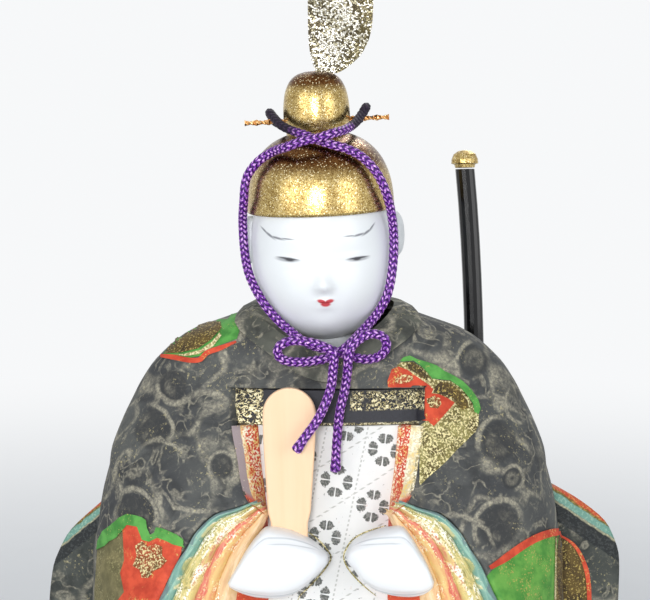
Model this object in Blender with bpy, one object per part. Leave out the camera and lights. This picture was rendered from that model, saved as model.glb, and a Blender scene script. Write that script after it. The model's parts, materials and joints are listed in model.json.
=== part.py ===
"""Seated emperor doll for the doll festival, with crown, tablet and sword.

Metres, +Z up. The doll faces -Y and stands on the plane Z = 0. Left and right are the doll's own,
so the right hand is on the -X side. Dress pieces are patches between two surfaces: the body core
inside and the outer robe outside.
"""

from bisect import bisect_right
from collections import namedtuple
from math import atan2, copysign, cos, exp, pi, radians, sin

import bpy
from mathutils import Matrix, Vector

# Fits
GAP = 0.0003  # clearance between two pieces that touch
LINING_GAP = 0.0007  # between the core and what is worn over it, whose facets differ
OVERRUN = 0.004  # how far a cutter runs past what it cuts

# Outer robe
ROBE_HEIGHT = 0.1090
ROBE_HALF_WIDTH = 0.0525
ROBE_FRONT = 0.0420
ROBE_BACK = 0.0400
ROBE_SQUARENESS = 2.3
TRAIN_REACH = 0.0080  # how far the train spreads past the robe's back at the hem
TRAIN_SPREAD_POWER = 0.8
BACK_SEAM_ANGLE = radians(150)  # where sleeve and back meet, from the front
FOLD_DEPTH = 0.0009  # of the soft creases on the sleeves
FOLD_START_ANGLE = radians(32)
FOLD_TURNS = 2.4  # creases from hem to shoulder

# Places and sizes in the dress, as shares of the robe's height
CORE_TOP_SHARE = 0.8761
BAND_BOTTOM_SHARE = 0.8046
BAND_TOP_SHARE = 0.8642
STRIP_BOTTOM_SHARE = 0.6807
WING_TOP_SHARE = 0.6376
COLLAR_FRONT_TOP_SHARE = 0.9321
COLLAR_SIDE_BOTTOM_SHARE = 0.9872
COLLAR_SIDE_TOP_SHARE = 1.0046
HAND_HEIGHT_SHARE = 0.5688
HAND_HALF_HEIGHT_SHARE = 0.0615
SWORD_MOUTH_SHARE = 0.7908
# The same, as shares of its half width
CORE_WIDTH_SHARE = 0.8571
NECK_HOLE_WIDTH_SHARE = 0.2476
COLLAR_WIDTH_SHARE = 0.2895
BAND_WIDTH_SHARE = 0.3429
WRIST_SHARE = 0.4095
LEFT_KNUCKLE_SHARE = 0.0762
HAND_PEG_SHARE = 0.2895
SWORD_SIDE_SHARE = 0.5829
# The same, as shares of its front reach
CORE_FRONT_SHARE = 0.8452
NECK_HOLE_FRONT_SHARE = 0.2500
COLLAR_FRONT_SHARE = 0.3095
HAND_REACH_SHARE = 0.5762
HAND_HALF_DEPTH_SHARE = 0.1286
WRIST_REACH_SHARE = 0.4100
HAND_PEG_FRONT_SHARE = 0.5119
HAND_PEG_BACK_SHARE = 0.2143
# The same, as shares of its back reach
CORE_BACK_SHARE = 0.7875
NECK_HOLE_BACK_SHARE = 0.2750
COLLAR_BACK_SHARE = 0.3500
SWORD_BACK_SHARE = 0.4325

# Body core: torso and lap
CORE_TOP = ROBE_HEIGHT * CORE_TOP_SHARE
CORE_HALF_WIDTH = ROBE_HALF_WIDTH * CORE_WIDTH_SHARE
CORE_FRONT = ROBE_FRONT * CORE_FRONT_SHARE
CORE_BACK = ROBE_BACK * CORE_BACK_SHARE
CORE_SQUARENESS = 2.6
NECK_HOLE_HALF_WIDTH = ROBE_HALF_WIDTH * NECK_HOLE_WIDTH_SHARE
NECK_HOLE_FRONT = ROBE_FRONT * NECK_HOLE_FRONT_SHARE
NECK_HOLE_BACK = ROBE_BACK * NECK_HOLE_BACK_SHARE
BOARD_THICKNESS = 0.0025
BOARD_SHARE = 0.82  # of the core's outline at the hem

# Front of the dress
PANEL_THICKNESS = 0.0013
STRIP_THICKNESS = 0.0019
UNDER_ROBE_THICKNESS = 0.0018
BAND_THICKNESS = 0.0024
BAND_BOTTOM = ROBE_HEIGHT * BAND_BOTTOM_SHARE
BAND_TOP = ROBE_HEIGHT * BAND_TOP_SHARE
BAND_HALF_WIDTH = ROBE_HALF_WIDTH * BAND_WIDTH_SHARE
STRIP_BOTTOM = ROBE_HEIGHT * STRIP_BOTTOM_SHARE
EDGE_GAP = 0.0009  # between a strip's edge and the sleeve or layer beside it
CUFF_CROWN = 0.0006  # how far a padded layer swells between its edges
CUFF_STEP = 0.0009  # how far each layer lies behind the one outside it

# Rear wings of the sleeves
WING_START_ANGLE = radians(95)
WING_REACH = 0.0110
WING_FALL_SHARE = 0.45  # of the reach that is lost towards the back
WING_TOP = ROBE_HEIGHT * WING_TOP_SHARE
WING_LEAN = 0.0028  # how much further out the left wing stands near its top, and less the right one
WING_TOP_LEAN = 0.0016  # how much higher the left wing ends, and lower the right one
WING_LEAN_POWER = 2.0

# Collar
COLLAR_PROUD = 0.0010  # of the robe at its lower edge
COLLAR_THICKNESS = 0.0020
COLLAR_CROWN = 0.0005
COLLAR_FRONT_BOTTOM = CORE_TOP + GAP
COLLAR_FRONT_TOP = ROBE_HEIGHT * COLLAR_FRONT_TOP_SHARE
COLLAR_SIDE_BOTTOM = ROBE_HEIGHT * COLLAR_SIDE_BOTTOM_SHARE
COLLAR_SIDE_TOP = ROBE_HEIGHT * COLLAR_SIDE_TOP_SHARE
COLLAR_TOP_HALF_WIDTH = ROBE_HALF_WIDTH * COLLAR_WIDTH_SHARE
COLLAR_TOP_FRONT = ROBE_FRONT * COLLAR_FRONT_SHARE
COLLAR_TOP_BACK = ROBE_BACK * COLLAR_BACK_SHARE

# Hands
HAND_HALF_HEIGHT = ROBE_HEIGHT * HAND_HALF_HEIGHT_SHARE
HAND_HALF_DEPTH = ROBE_FRONT * HAND_HALF_DEPTH_SHARE
HAND_HEIGHT = ROBE_HEIGHT * HAND_HEIGHT_SHARE  # of the fists' middle above the base
HAND_REACH = ROBE_FRONT * HAND_REACH_SHARE  # of the fists' middle in front of the torso axis
WRIST_REACH = ROBE_FRONT * WRIST_REACH_SHARE
WRIST_SINK_POWER = 3.5  # how late the hand sinks into the sleeve
WRIST_X = ROBE_HALF_WIDTH * WRIST_SHARE
RIGHT_KNUCKLE_X = 0.0002
LEFT_KNUCKLE_X = ROBE_HALF_WIDTH * LEFT_KNUCKLE_SHARE
HAND_PEG_RADIUS = 0.0012
HAND_PEG_X = ROBE_HALF_WIDTH * HAND_PEG_SHARE
HAND_PEG_FRONT = ROBE_FRONT * HAND_PEG_FRONT_SHARE
HAND_PEG_BACK = ROBE_FRONT * HAND_PEG_BACK_SHARE

# Tablet
SHAKU_WIDTH = 0.0103
SHAKU_GRIP_WIDTH = 0.0072
SHAKU_THICKNESS = 0.0013
SHAKU_EDGE_ROUND = 0.0003
SHAKU_FOOT = 0.0045  # below the fists' middle
SHAKU_GRIP_RISE = 0.0075  # above it, as the next two
SHAKU_SHOULDER_RISE = 0.0115  # where the full width is reached
SHAKU_RISE = 0.0340
SHAKU_OUT = 0.0073  # from the knuckles
SHAKU_DRAWN_BACK = 0.0014  # behind the fist's middle

# Neck, head and crown, in a frame that tilts with the head
HEAD_TILT = radians(2.5)
NECK_RADIUS = 0.0055
NECK_TOP = 0.0120  # above the core's top, inside the jaw
PEG_RADIUS = 0.0024
PEG_IN_BODY = 0.0155
PEG_IN_HEAD = 0.0125
HEAD_HALF_WIDTH = 0.0141
HEAD_FRONT = 0.0146
HEAD_BACK = 0.0155
HEAD_MIDDLE = 0.0240  # above the core's top
HEAD_FORWARD = 0.0025
JAW_DROP = 0.0168
JAW_SQUARENESS = 2.3
BROW_RISE = 0.0200
NOSE_REACH = 0.0015
EAR_HALF_HEIGHT = 0.0046
EAR_HALF_DEPTH = 0.0034
EAR_HALF_WIDTH = 0.0021
EAR_OUT = 0.0141
EAR_RISE = 0.0032
EAR_BACK = 0.0035
EAR_TURN = radians(15)
BRIM_RISE = 0.0330  # of the crown's brim above the core's top
CAP_HEIGHT = 0.0156
CAP_HALF_WIDTH = 0.0146
CAP_FRONT = 0.0151
CAP_BACK = 0.0160
CAP_WALL = 0.0008
CAP_SQUARENESS = 2.5
CAP_CROWN_SHARE = 0.3  # of the last ring's size, where the crown is flat
KNOB_RADIUS = 0.0066
KNOB_HEIGHT = 0.0116  # above the cap's crown, where its top is
KNOB_SINK = 0.0030
PIN_RADIUS = 0.00062
PIN_FLATNESS_SHARE = 0.62
PIN_HALF_LENGTH = 0.0143
PIN_RISE = 0.0020  # above the cap's crown
PIN_TURNS = 6
PIN_STEPS = 6  # in a turn
PIN_SIDES = 8

# Plume
PLUME_LENGTH = 0.0460
PLUME_WIDTH = 0.0130
PLUME_THICKNESS = 0.0006
PLUME_LEAN = 0.0110  # how far the tip bends back
PLUME_BEND_POWER = 2.2
PLUME_LEFT = 0.0012  # of its straight edge beyond the knob's axis
TONGUE_WIDTH = 0.0046
TONGUE_DEPTH = 0.0055
TONGUE_X = 0.0012

# Sword
SCABBARD_HALF_WIDTH = 0.0020
SCABBARD_HALF_DEPTH = 0.0016
SCABBARD_LENGTH = 0.0485
SCABBARD_BEND = 0.0012
SCABBARD_PEG_RADIUS = 0.0013
SCABBARD_PEG_LENGTH = 0.0140
SWORD_X = ROBE_HALF_WIDTH * SWORD_SIDE_SHARE
SWORD_BACK = ROBE_BACK * SWORD_BACK_SHARE
SWORD_MOUTH_HEIGHT = ROBE_HEIGHT * SWORD_MOUTH_SHARE
SWORD_LEAN = radians(7)
SWORD_ROLL = radians(1.2)
CAP_RING_RADIUS = 0.0028
CAP_RING_HEIGHT = 0.0036

# Chin cord
CORD_RADIUS = 0.00095

CORD_LONGEST_RUN = 0.0057  # between two points of the tube
CORD_SHARPEST_TURN = radians(34)
CORD_CURVE_STEP = 0.0004
CORD_SELF_TOUCH = 0.0060  # two points closer than this along the cord are neighbours
# Route of its middle line, from the top of the core on the torso axis
CORD_ROUTE = [
    # first tail, up from its end
    (-0.0063, -0.0262, -0.0114), (-0.0044, -0.0260, -0.0086), (-0.0021, -0.0254, -0.0054),
    (-0.0004, -0.0250, -0.0019), (0.0006, -0.0236, 0.0011), (0.0009, -0.0219, 0.0036),
    (0.0011, -0.0209, 0.0054), (0.0008, -0.0207, 0.0071),
    # left bow loop
    (-0.0010, -0.0205, 0.0082), (-0.0039, -0.0203, 0.0090), (-0.0070, -0.0200, 0.0092),
    (-0.0091, -0.0196, 0.0083), (-0.0098, -0.0191, 0.0069), (-0.0089, -0.0186, 0.0054),
    (-0.0062, -0.0184, 0.0048), (-0.0023, -0.0183, 0.0051),
    # knot, then up the left cheek
    (0.0008, -0.0182, 0.0059), (0.0033, -0.0180, 0.0075), (0.0052, -0.0154, 0.0089),
    (0.0072, -0.0126, 0.0106), (0.0096, -0.0103, 0.0131), (0.0116, -0.0104, 0.0169),
    (0.0126, -0.0101, 0.0218), (0.0129, -0.0091, 0.0276),
    # over the front of the cap
    (0.0123, -0.0108, 0.0333), (0.0111, -0.0128, 0.0377), (0.0093, -0.0134, 0.0413),
    (0.0066, -0.0134, 0.0442), (0.0037, -0.0137, 0.0458), (0.0009, -0.0135, 0.0466),
    # over the hairpin, behind the knob and over the hairpin again
    (-0.0018, -0.0128, 0.0474), (-0.0045, -0.0113, 0.0483), (-0.0072, -0.0090, 0.0491),
    (-0.0092, -0.0066, 0.0499), (-0.0106, -0.0036, 0.0511), (-0.0115, -0.0012, 0.0520),
    (-0.0113, 0.0012, 0.0513), (-0.0104, 0.0040, 0.0498), (-0.0076, 0.0066, 0.0485),
    (-0.0018, 0.0080, 0.0478), (0.0038, 0.0064, 0.0487), (0.0062, 0.0038, 0.0504),
    (0.0073, 0.0012, 0.0525), (0.0075, -0.0012, 0.0531), (0.0065, -0.0036, 0.0517),
    (0.0053, -0.0072, 0.0504),
    # across the first run and down the right cheek
    (0.0033, -0.0116, 0.0494), (0.0008, -0.0148, 0.0489), (-0.0018, -0.0155, 0.0481),
    (-0.0048, -0.0154, 0.0475), (-0.0077, -0.0148, 0.0464), (-0.0109, -0.0111, 0.0450),
    (-0.0137, -0.0101, 0.0430), (-0.0159, -0.0090, 0.0398), (-0.0165, -0.0088, 0.0354),
    (-0.0168, -0.0047, 0.0291), (-0.0158, -0.0072, 0.0214), (-0.0130, -0.0106, 0.0159),
    # knot, then the right bow loop
    (-0.0102, -0.0112, 0.0124), (-0.0074, -0.0124, 0.0100), (-0.0051, -0.0144, 0.0085),
    (-0.0025, -0.0153, 0.0074), (0.0011, -0.0156, 0.0065), (0.0043, -0.0159, 0.0056),
    (0.0072, -0.0167, 0.0051), (0.0099, -0.0175, 0.0058), (0.0113, -0.0181, 0.0077),
    (0.0106, -0.0189, 0.0098), (0.0081, -0.0198, 0.0105), (0.0058, -0.0205, 0.0094),
    (0.0043, -0.0208, 0.0077),
    # second tail, down to its end
    (0.0039, -0.0207, 0.0057), (0.0037, -0.0204, 0.0032), (0.0032, -0.0203, -0.0004),
    (0.0023, -0.0203, -0.0043), (0.0017, -0.0203, -0.0102), (0.0014, -0.0203, -0.0165),
]

# Mesh fineness
CORE_SEGMENTS = 40
HEAD_SEGMENTS = 40
FACE_ROWS = 10
ROUND_SEGMENTS = 24
PEG_SEGMENTS = 16
SLEEVE_COLUMNS = 12
CUFF_COLUMNS = 3
PANEL_COLUMNS = 8

# Heights of the jaw's rings below the middle of the head, as shares of a quarter turn
JAW_ROW_SHARES = [0.93, 0.85, 0.76, 0.67, 0.58, 0.50]
# Heights of the skull's rings under the cap, as shares of the cap's inside
SKULL_ROW_SHARES = [0.00, 0.25, 0.50, 0.70, 0.85, 0.94, 0.99]
# Swellings of the face: height as a share of the nose's reach, then place across and up from the
# nose's tip and size across and up, as shares of the head's half width
FACE_SHARES = [
    (1.00, 0.00, 0.00, 0.12, 0.14),
    (0.42, 0.00, 0.20, 0.10, 0.26),
    (0.30, 0.00, -0.27, 0.16, 0.10),
    (0.55, 0.00, -0.62, 0.30, 0.18),
    (0.40, 0.48, -0.12, 0.30, 0.32),
    (-0.32, 0.46, 0.34, 0.26, 0.13),
]
NOSE_DROP_SHARE = 0.26  # of the jaw's drop, from the head's middle to the nose's tip
# Heights of the ear's rings, as shares of its half height
EAR_ROW_SHARES = [-0.94, -0.70, -0.35, 0.00, 0.35, 0.70, 0.94]
# Heights of the cap's rings, as shares of its height
CAP_ROW_SHARES = [0.00, 0.12, 0.30, 0.50, 0.68, 0.82, 0.92, 0.975]
KNOB_SEAT_ROW_SHARES = CAP_ROW_SHARES[3:]
# Height, half width, front reach and back reach as shares of the robe's four sizes
ROBE_SHARES = [
    (0.000, 1.000, 1.000, 1.000),
    (0.092, 0.990, 0.988, 0.975),
    (0.229, 0.962, 0.948, 0.925),
    (0.367, 0.930, 0.881, 0.862),
    (0.459, 0.907, 0.821, 0.812),
    (0.519, 0.895, 0.774, 0.775),
    (0.593, 0.874, 0.714, 0.725),
    (0.633, 0.867, 0.674, 0.700),
    (0.688, 0.851, 0.607, 0.662),
    (0.752, 0.819, 0.524, 0.612),
    (0.823, 0.756, 0.417, 0.562),
    (0.867, 0.705, 0.357, 0.525),
    (0.904, 0.648, 0.319, 0.487),
    (0.950, 0.533, 0.281, 0.425),
    (0.972, 0.410, 0.250, 0.375),
    (0.989, 0.314, 0.226, 0.312),
    (1.000, 0.257, 0.210, 0.262),
]
# The same for the core, with heights as shares of its top
CORE_SHARES = [
    (0.000, 1.000, 1.000, 1.000),
    (0.105, 0.989, 0.966, 0.984),
    (0.230, 0.956, 0.887, 0.937),
    (0.356, 0.889, 0.760, 0.857),
    (0.461, 0.800, 0.628, 0.762),
    (0.545, 0.733, 0.515, 0.698),
    (0.628, 0.667, 0.462, 0.635),
    (0.712, 0.633, 0.450, 0.587),
    (0.796, 0.622, 0.445, 0.556),
    (0.880, 0.611, 0.430, 0.524),
    (0.942, 0.578, 0.400, 0.492),
    (1.000, 0.489, 0.338, 0.444),
]
# Front edge of the sleeves: height as a share of the robe's, distance from the middle as a share
# of its half width
SLEEVE_EDGE_SHARES = [
    (0.000, 0.810),
    (0.092, 0.800),
    (0.183, 0.785),
    (0.275, 0.762),
    (0.367, 0.724),
    (0.431, 0.682),
    (0.483, 0.648),
    (0.523, 0.621),
    (0.560, 0.590),
    (0.596, 0.549),
    (0.628, 0.499),
    (0.656, 0.429),
    (0.668, 0.349),
    (0.677, 0.295),
    (0.697, 0.320),
    (0.734, 0.343),
    (0.780, 0.358),
    (0.867, 0.371),
    (0.904, 0.330),
    (1.000, 0.200),
]
# Inner edge of the innermost cuff layer, point by point beside the sleeve's edge
CUFF_EDGE_SHARES = [
    (0.000, 0.352),
    (0.092, 0.358),
    (0.183, 0.369),
    (0.275, 0.381),
    (0.367, 0.398),
    (0.428, 0.402),
    (0.474, 0.400),
    (0.510, 0.391),
    (0.540, 0.379),
    (0.566, 0.361),
    (0.590, 0.336),
    (0.612, 0.310),
    (0.633, 0.284),
    (0.650, 0.264),
]
DRAW_IN_SHARE = 0.30  # how much more the inner edge of a dress piece keeps to the middle
# Row heights shared by all dress pieces, as shares of the robe's height
SLEEVE_ROW_SHARES = [
    0.000, 0.092, 0.183, 0.275, 0.367, 0.431, 0.483, 0.523, 0.560, 0.596, 0.628, 0.656,
    0.668, 0.677, 0.697, 0.734, 0.780, 0.823,
]
SHOULDER_ROW_SHARES = [0.904, 0.928, 0.950, 0.972, 0.989, 1.000]
# Where the four cuff layers part, from the sleeve's edge to the hand
CUFF_SHARES = {"edge": (0.00, 0.16), "gold": (0.16, 0.46), "rose": (0.46, 0.72), "tan": (0.72, 1.00)}
# Height as a share of the band's lower edge, half width of the panel as a share of the band's
PANEL_SHARES = [
    (0.000, 0.810),
    (0.228, 0.735),
    (0.456, 0.668),
    (0.600, 0.650),
    (0.700, 0.650),
    (0.787, 0.660),
    (0.830, 0.680),
    (0.910, 0.730),
    (1.000, 0.768),
]
PANEL_ROW_SHARES = [
    0.000, 0.110, 0.220, 0.320, 0.410, 0.490, 0.550, 0.600, 0.650, 0.700, 0.780, 0.890, 1.000,
]
# Height as a share of the wing's top, reach as a share of the wing's greatest
WING_SHARES = [
    (0.000, 0.78),
    (0.420, 0.90),
    (0.680, 0.98),
    (0.800, 1.00),
    (0.850, 0.93),
    (0.905, 0.78),
    (0.955, 0.48),
    (1.000, 0.12),
]
# From the knuckles to the wrist: length share, half height share, half depth share
HAND_SHARES = [
    (0.00, 0.30, 0.30),
    (0.03, 0.52, 0.50),
    (0.09, 0.72, 0.70),
    (0.19, 0.87, 0.88),
    (0.35, 0.96, 1.00),
    (0.58, 1.00, 1.00),
    (0.70, 0.99, 0.93),
    (0.82, 0.95, 0.80),
    (0.92, 0.89, 0.64),
    (1.00, 0.82, 0.50),
]
# Knob of the crown, top to bottom: radius share of its radius, height share of its height
KNOB_SHARES = [
    (0.30, 1.000),
    (0.52, 0.965),
    (0.74, 0.870),
    (0.90, 0.700),
    (0.975, 0.500),
    (1.00, 0.250),
    (0.96, 0.050),
]
# Tablet's widening above the grip
SHAKU_NECK_SHARES = [0.35, 0.70, 1.00]
SHAKU_ARCH_STEPS = 14
# Scabbard's rings, and its cap's radius and height, as shares of their sizes
SCABBARD_ROW_SHARES = [0.20, 0.40, 0.55, 0.70, 0.85, 1.00]
SWORD_CAP_SHARES = [
    (0.72, 0.00),
    (0.78, 0.18),
    (1.00, 0.24),
    (0.98, 0.48),
    (0.82, 0.78),
    (0.50, 0.95),
    (0.20, 1.00),
]
# Plume from its root to its tip: height share, left edge and right edge as shares of its width
PLUME_SHARES = [
    (0.000, 0.000, 0.370),
    (0.030, -0.020, 0.560),
    (0.075, -0.030, 0.810),
    (0.130, -0.020, 0.920),
    (0.210, 0.000, 0.985),
    (0.320, 0.010, 1.000),
    (0.500, 0.020, 1.010),
    (0.700, 0.030, 1.015),
    (0.860, 0.040, 1.010),
    (0.940, 0.090, 0.970),
    (1.000, 0.300, 0.760),
]

Form = namedtuple("Form", "height half_width front back squareness shares")
ROBE = Form(ROBE_HEIGHT, ROBE_HALF_WIDTH, ROBE_FRONT, ROBE_BACK, ROBE_SQUARENESS, ROBE_SHARES)
CORE = Form(CORE_TOP, CORE_HALF_WIDTH, CORE_FRONT, CORE_BACK, CORE_SQUARENESS, CORE_SHARES)

# The dress reaches further back than forward, so the torso axis stands forward of the origin by
# half of that
TORSO_AXIS_Y = (CORE_FRONT + GAP + PANEL_THICKNESS - ROBE_BACK - TRAIN_REACH) / 2


def read_table(table, key):
    """The values of a table at one key, on a smooth curve through its rows."""
    keys = [row[0] for row in table]
    last = len(keys) - 1
    low = min(max(bisect_right(keys, key) - 1, 0), last - 1)
    span = keys[low + 1] - keys[low]
    t = min(max((key - keys[low]) / span, 0.0), 1.0)

    def slope(row, column):
        before, after = max(row - 1, 0), min(row + 1, last)
        return (table[after][column] - table[before][column]) / (keys[after] - keys[before])

    values = []
    for column in range(1, len(table[0])):
        start, end = table[low][column], table[low + 1][column]
        out, into = slope(low, column) * span, slope(low + 1, column) * span
        rise = (2 * t**3 - 3 * t**2 + 1) * start + (3 * t**2 - 2 * t**3) * end
        values.append(rise + (t**3 - 2 * t**2 + t) * out + (t**3 - t**2) * into)
    return values


def mix(a, b, share):
    return a + (b - a) * share


def oval_radius(half_width, front, back, squareness, angle):
    """Radius of a squarish oval with unlike front and back, at an angle from the front."""
    depth = front if cos(angle) >= 0 else back
    across = abs(sin(angle)) / half_width
    along = abs(cos(angle)) / depth
    return (across**squareness + along**squareness) ** (-1 / squareness)


def form_radius(form, angle, height):
    width, front, back = read_table(form.shares, height / form.height)
    sizes = (form.half_width * width, form.front * front, form.back * back)
    return oval_radius(*sizes, form.squareness, angle)


def front_angle(form, x, height):
    """Angle from the front at which a form's front surface passes the distance x from its middle."""
    width, front, _ = read_table(form.shares, height / form.height)
    share = min(abs(x) / (form.half_width * width), 0.999)
    depth = form.front * front * (1 - share**form.squareness) ** (1 / form.squareness)
    return copysign(atan2(abs(x), depth), x)


def ring_point(angle, radius, height):
    return Vector((radius * sin(angle), -radius * cos(angle), height))


def robe_radius(angle, height):
    return form_radius(ROBE, angle, height) + fold_relief(angle, height)


def fold_relief(angle, height):
    """Soft slanting creases of the sleeves, between the opening and the rear wing."""
    turned = (angle + pi) % (2 * pi) - pi
    across = (abs(turned) - FOLD_START_ANGLE) / (WING_START_ANGLE - FOLD_START_ANGLE)
    up = height / ROBE_HEIGHT
    if not 0 < across < 1 or not 0 < up < 1:
        return 0.0
    return FOLD_DEPTH * sin(pi * across) * sin(pi * up) * sin(2 * pi * (FOLD_TURNS * up + across))


def inside_radius(angle, height):
    """Inner surface of the outer dress: over the core, then round the neck hole."""
    if height <= CORE_TOP + GAP:
        return form_radius(CORE, angle, min(height, CORE_TOP)) + LINING_GAP
    return oval_radius(NECK_HOLE_HALF_WIDTH, NECK_HOLE_FRONT, NECK_HOLE_BACK, CORE_SQUARENESS, angle)


# Objects


def finish(name, colour, roughness, metallic=0.0):
    material = bpy.data.materials.new(name)
    material.use_nodes = True
    shader = material.node_tree.nodes["Principled BSDF"]
    shader.inputs["Base Color"].default_value = (*colour, 1.0)
    shader.inputs["Roughness"].default_value = roughness
    shader.inputs["Metallic"].default_value = metallic
    return material


def new_empty(name, parent=None, location=(0, 0, 0)):
    empty = bpy.data.objects.new(name, None)
    bpy.context.scene.collection.objects.link(empty)
    empty.parent = parent
    empty.location = location
    return empty


def new_object(name, vertices, faces, material, parent, crease=radians(40)):
    mesh = bpy.data.meshes.new(name)
    mesh.from_pydata(vertices, [], faces)
    mesh.validate()
    mesh.shade_smooth()
    mesh.set_sharp_from_angle(angle=crease)
    mesh.materials.append(material)
    thing = bpy.data.objects.new(name, mesh)
    bpy.context.scene.collection.objects.link(thing)
    thing.parent = parent
    return thing


def make_cutter(thing):
    thing.hide_render = True
    thing.display_type = "WIRE"
    return thing


def cut(thing, cutter):
    modifier = thing.modifiers.new(cutter.name, "BOOLEAN")
    modifier.operation = "DIFFERENCE"
    modifier.object = cutter


def join(thing, other):
    modifier = thing.modifiers.new(other.name, "BOOLEAN")
    modifier.operation = "UNION"
    modifier.object = other
    make_cutter(other)


# Solids


def closed_shell(name, outer, inner, material, parent):
    """A solid between two grids of points of the same rows and columns, walled all round."""
    rows, columns = len(outer), len(outer[0])
    vertices = [p for row in outer for p in row] + [p for row in inner for p in row]
    under = rows * columns

    def at(row, column, side=0):
        return side * under + row * columns + column

    faces = []
    for r in range(rows - 1):
        for c in range(columns - 1):
            faces.append((at(r, c), at(r, c + 1), at(r + 1, c + 1), at(r + 1, c)))
            faces.append((at(r, c, 1), at(r + 1, c, 1), at(r + 1, c + 1, 1), at(r, c + 1, 1)))
        faces.append((at(r, 0), at(r + 1, 0), at(r + 1, 0, 1), at(r, 0, 1)))
        end = columns - 1
        faces.append((at(r, end), at(r, end, 1), at(r + 1, end, 1), at(r + 1, end)))
    for c in range(columns - 1):
        top = rows - 1
        faces.append((at(0, c), at(0, c, 1), at(0, c + 1, 1), at(0, c + 1)))
        faces.append((at(top, c), at(top, c + 1), at(top, c + 1, 1), at(top, c, 1)))
    return new_object(name, vertices, faces, material, parent)


def stacked_rings(name, rings, material, parent):
    """A solid through closed rings of points, from the lowest to the highest, with flat ends."""
    count = len(rings[0])
    vertices = [p for ring in rings for p in ring]
    faces = [tuple(reversed(range(count)))]
    for r in range(len(rings) - 1):
        low, high = r * count, (r + 1) * count
        for c in range(count):
            after = (c + 1) % count
            faces.append((low + c, low + after, high + after, high + c))
    faces.append(tuple(range(len(vertices) - count, len(vertices))))
    return new_object(name, vertices, faces, material, parent)


def looped_sections(name, sections, material, parent):
    """A ring-shaped solid through sections that run round it once."""
    count, size = len(sections), len(sections[0])
    vertices = [p for section in sections for p in section]
    faces = []
    for s in range(count):
        here, there = s * size, (s + 1) % count * size
        for c in range(size):
            after = (c + 1) % size
            faces.append((here + c, there + c, there + after, here + after))
    return new_object(name, vertices, faces, material, parent)


def round_bar(name, radius, low, high, material, parent, segments=PEG_SEGMENTS):
    """A bar along local Z, from low to high."""
    rings = []
    for height in (low, high):
        turns = [2 * pi * i / segments for i in range(segments)]
        rings.append([Vector((radius * cos(t), radius * sin(t), height)) for t in turns])
    return stacked_rings(name, rings, material, parent)


def full_turn(segments):
    return [2 * pi * i / segments for i in range(segments)]


# Dress


def sleeve_edge(height):
    return read_table(SLEEVE_EDGE_SHARES, height / ROBE_HEIGHT)[0] * ROBE_HALF_WIDTH


def cuff_foot(height):
    """Distance from the middle at which the innermost cuff layer meets the core."""
    edge = read_table(CUFF_EDGE_SHARES, height / ROBE_HEIGHT)[0] * ROBE_HALF_WIDTH
    return drawn_in(edge, height) - GAP


def edge_angles(side, x, height):
    """Outer and inner angles of an edge that passes the robe's front at the distance x."""
    outer = front_angle(ROBE, x, height)
    if height > CORE_TOP + GAP:
        return side * outer, side * outer
    return side * outer, side * front_angle(CORE, drawn_in(x, height), height)


def drawn_in(x, height):
    half_width = ROBE_HALF_WIDTH * read_table(ROBE_SHARES, height / ROBE_HEIGHT)[0]
    return x * (1 - DRAW_IN_SHARE * (x / half_width) ** 2)


def patch(name, heights, start, end, inner, outer, columns, material, parent):
    """A dress piece: start and end give the outer and inner angles of its two edges at a height."""
    outside, inside = [], []
    for height in heights:
        (first, first_in), (last, last_in) = start(height), end(height)
        shares = [i / columns for i in range(columns + 1)]
        angles = [(mix(first, last, s), mix(first_in, last_in, s), s) for s in shares]
        outside.append([ring_point(a, outer(a, height, s), height) for a, _, s in angles])
        inside.append([ring_point(a, inner(a, height), height) for _, a, _ in angles])
    return closed_shell(name, outside, inside, material, parent)


def dress_rows():
    """Row heights from hem to neck, with a row on each side of the core's top and of the band's."""
    rows = [share * ROBE_HEIGHT for share in SLEEVE_ROW_SHARES]
    rows += [BAND_TOP + GAP, CORE_TOP + GAP, CORE_TOP + EDGE_GAP]
    return rows + [share * ROBE_HEIGHT for share in SHOULDER_ROW_SHARES]


def make_sleeve(side, name, cloth, neck_cutter, parent):
    def front(height):
        return edge_angles(side, sleeve_edge(height) + GAP, height)

    def back(height):
        angle = side * (BACK_SEAM_ANGLE - GAP / ROBE_HALF_WIDTH)
        return angle, angle

    def outer(angle, height, _):
        return robe_radius(angle, height)

    edges = (front, back) if side > 0 else (back, front)
    sleeve = patch(name, dress_rows(), *edges, inside_radius, outer, SLEEVE_COLUMNS, cloth, parent)
    cut(sleeve, neck_cutter)
    return sleeve


def make_yoke(cloth, neck_cutter, parent):
    def edge(side):
        return lambda height: edge_angles(side, sleeve_edge(height) - GAP, height)

    rows = [height for height in dress_rows() if height > BAND_TOP]
    shape = (inside_radius, lambda angle, height, _: robe_radius(angle, height))
    yoke = patch("chest_yoke", rows, edge(-1), edge(1), *shape, SLEEVE_COLUMNS, cloth, parent)
    cut(yoke, neck_cutter)


def make_back_robe(cloth, neck_cutter, parent):
    def train(angle, height, _):
        spread = max(0.0, 1 - height / WING_TOP)
        return robe_radius(angle, height) + TRAIN_REACH * spread**TRAIN_SPREAD_POWER

    first = BACK_SEAM_ANGLE + GAP / ROBE_HALF_WIDTH
    last = 2 * pi - first
    edges = (lambda height: (first, first), lambda height: (last, last))
    columns = SLEEVE_COLUMNS - 2
    robe = patch("back_robe", dress_rows(), *edges, inside_radius, train, columns, cloth, parent)
    cut(robe, neck_cutter)


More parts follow.
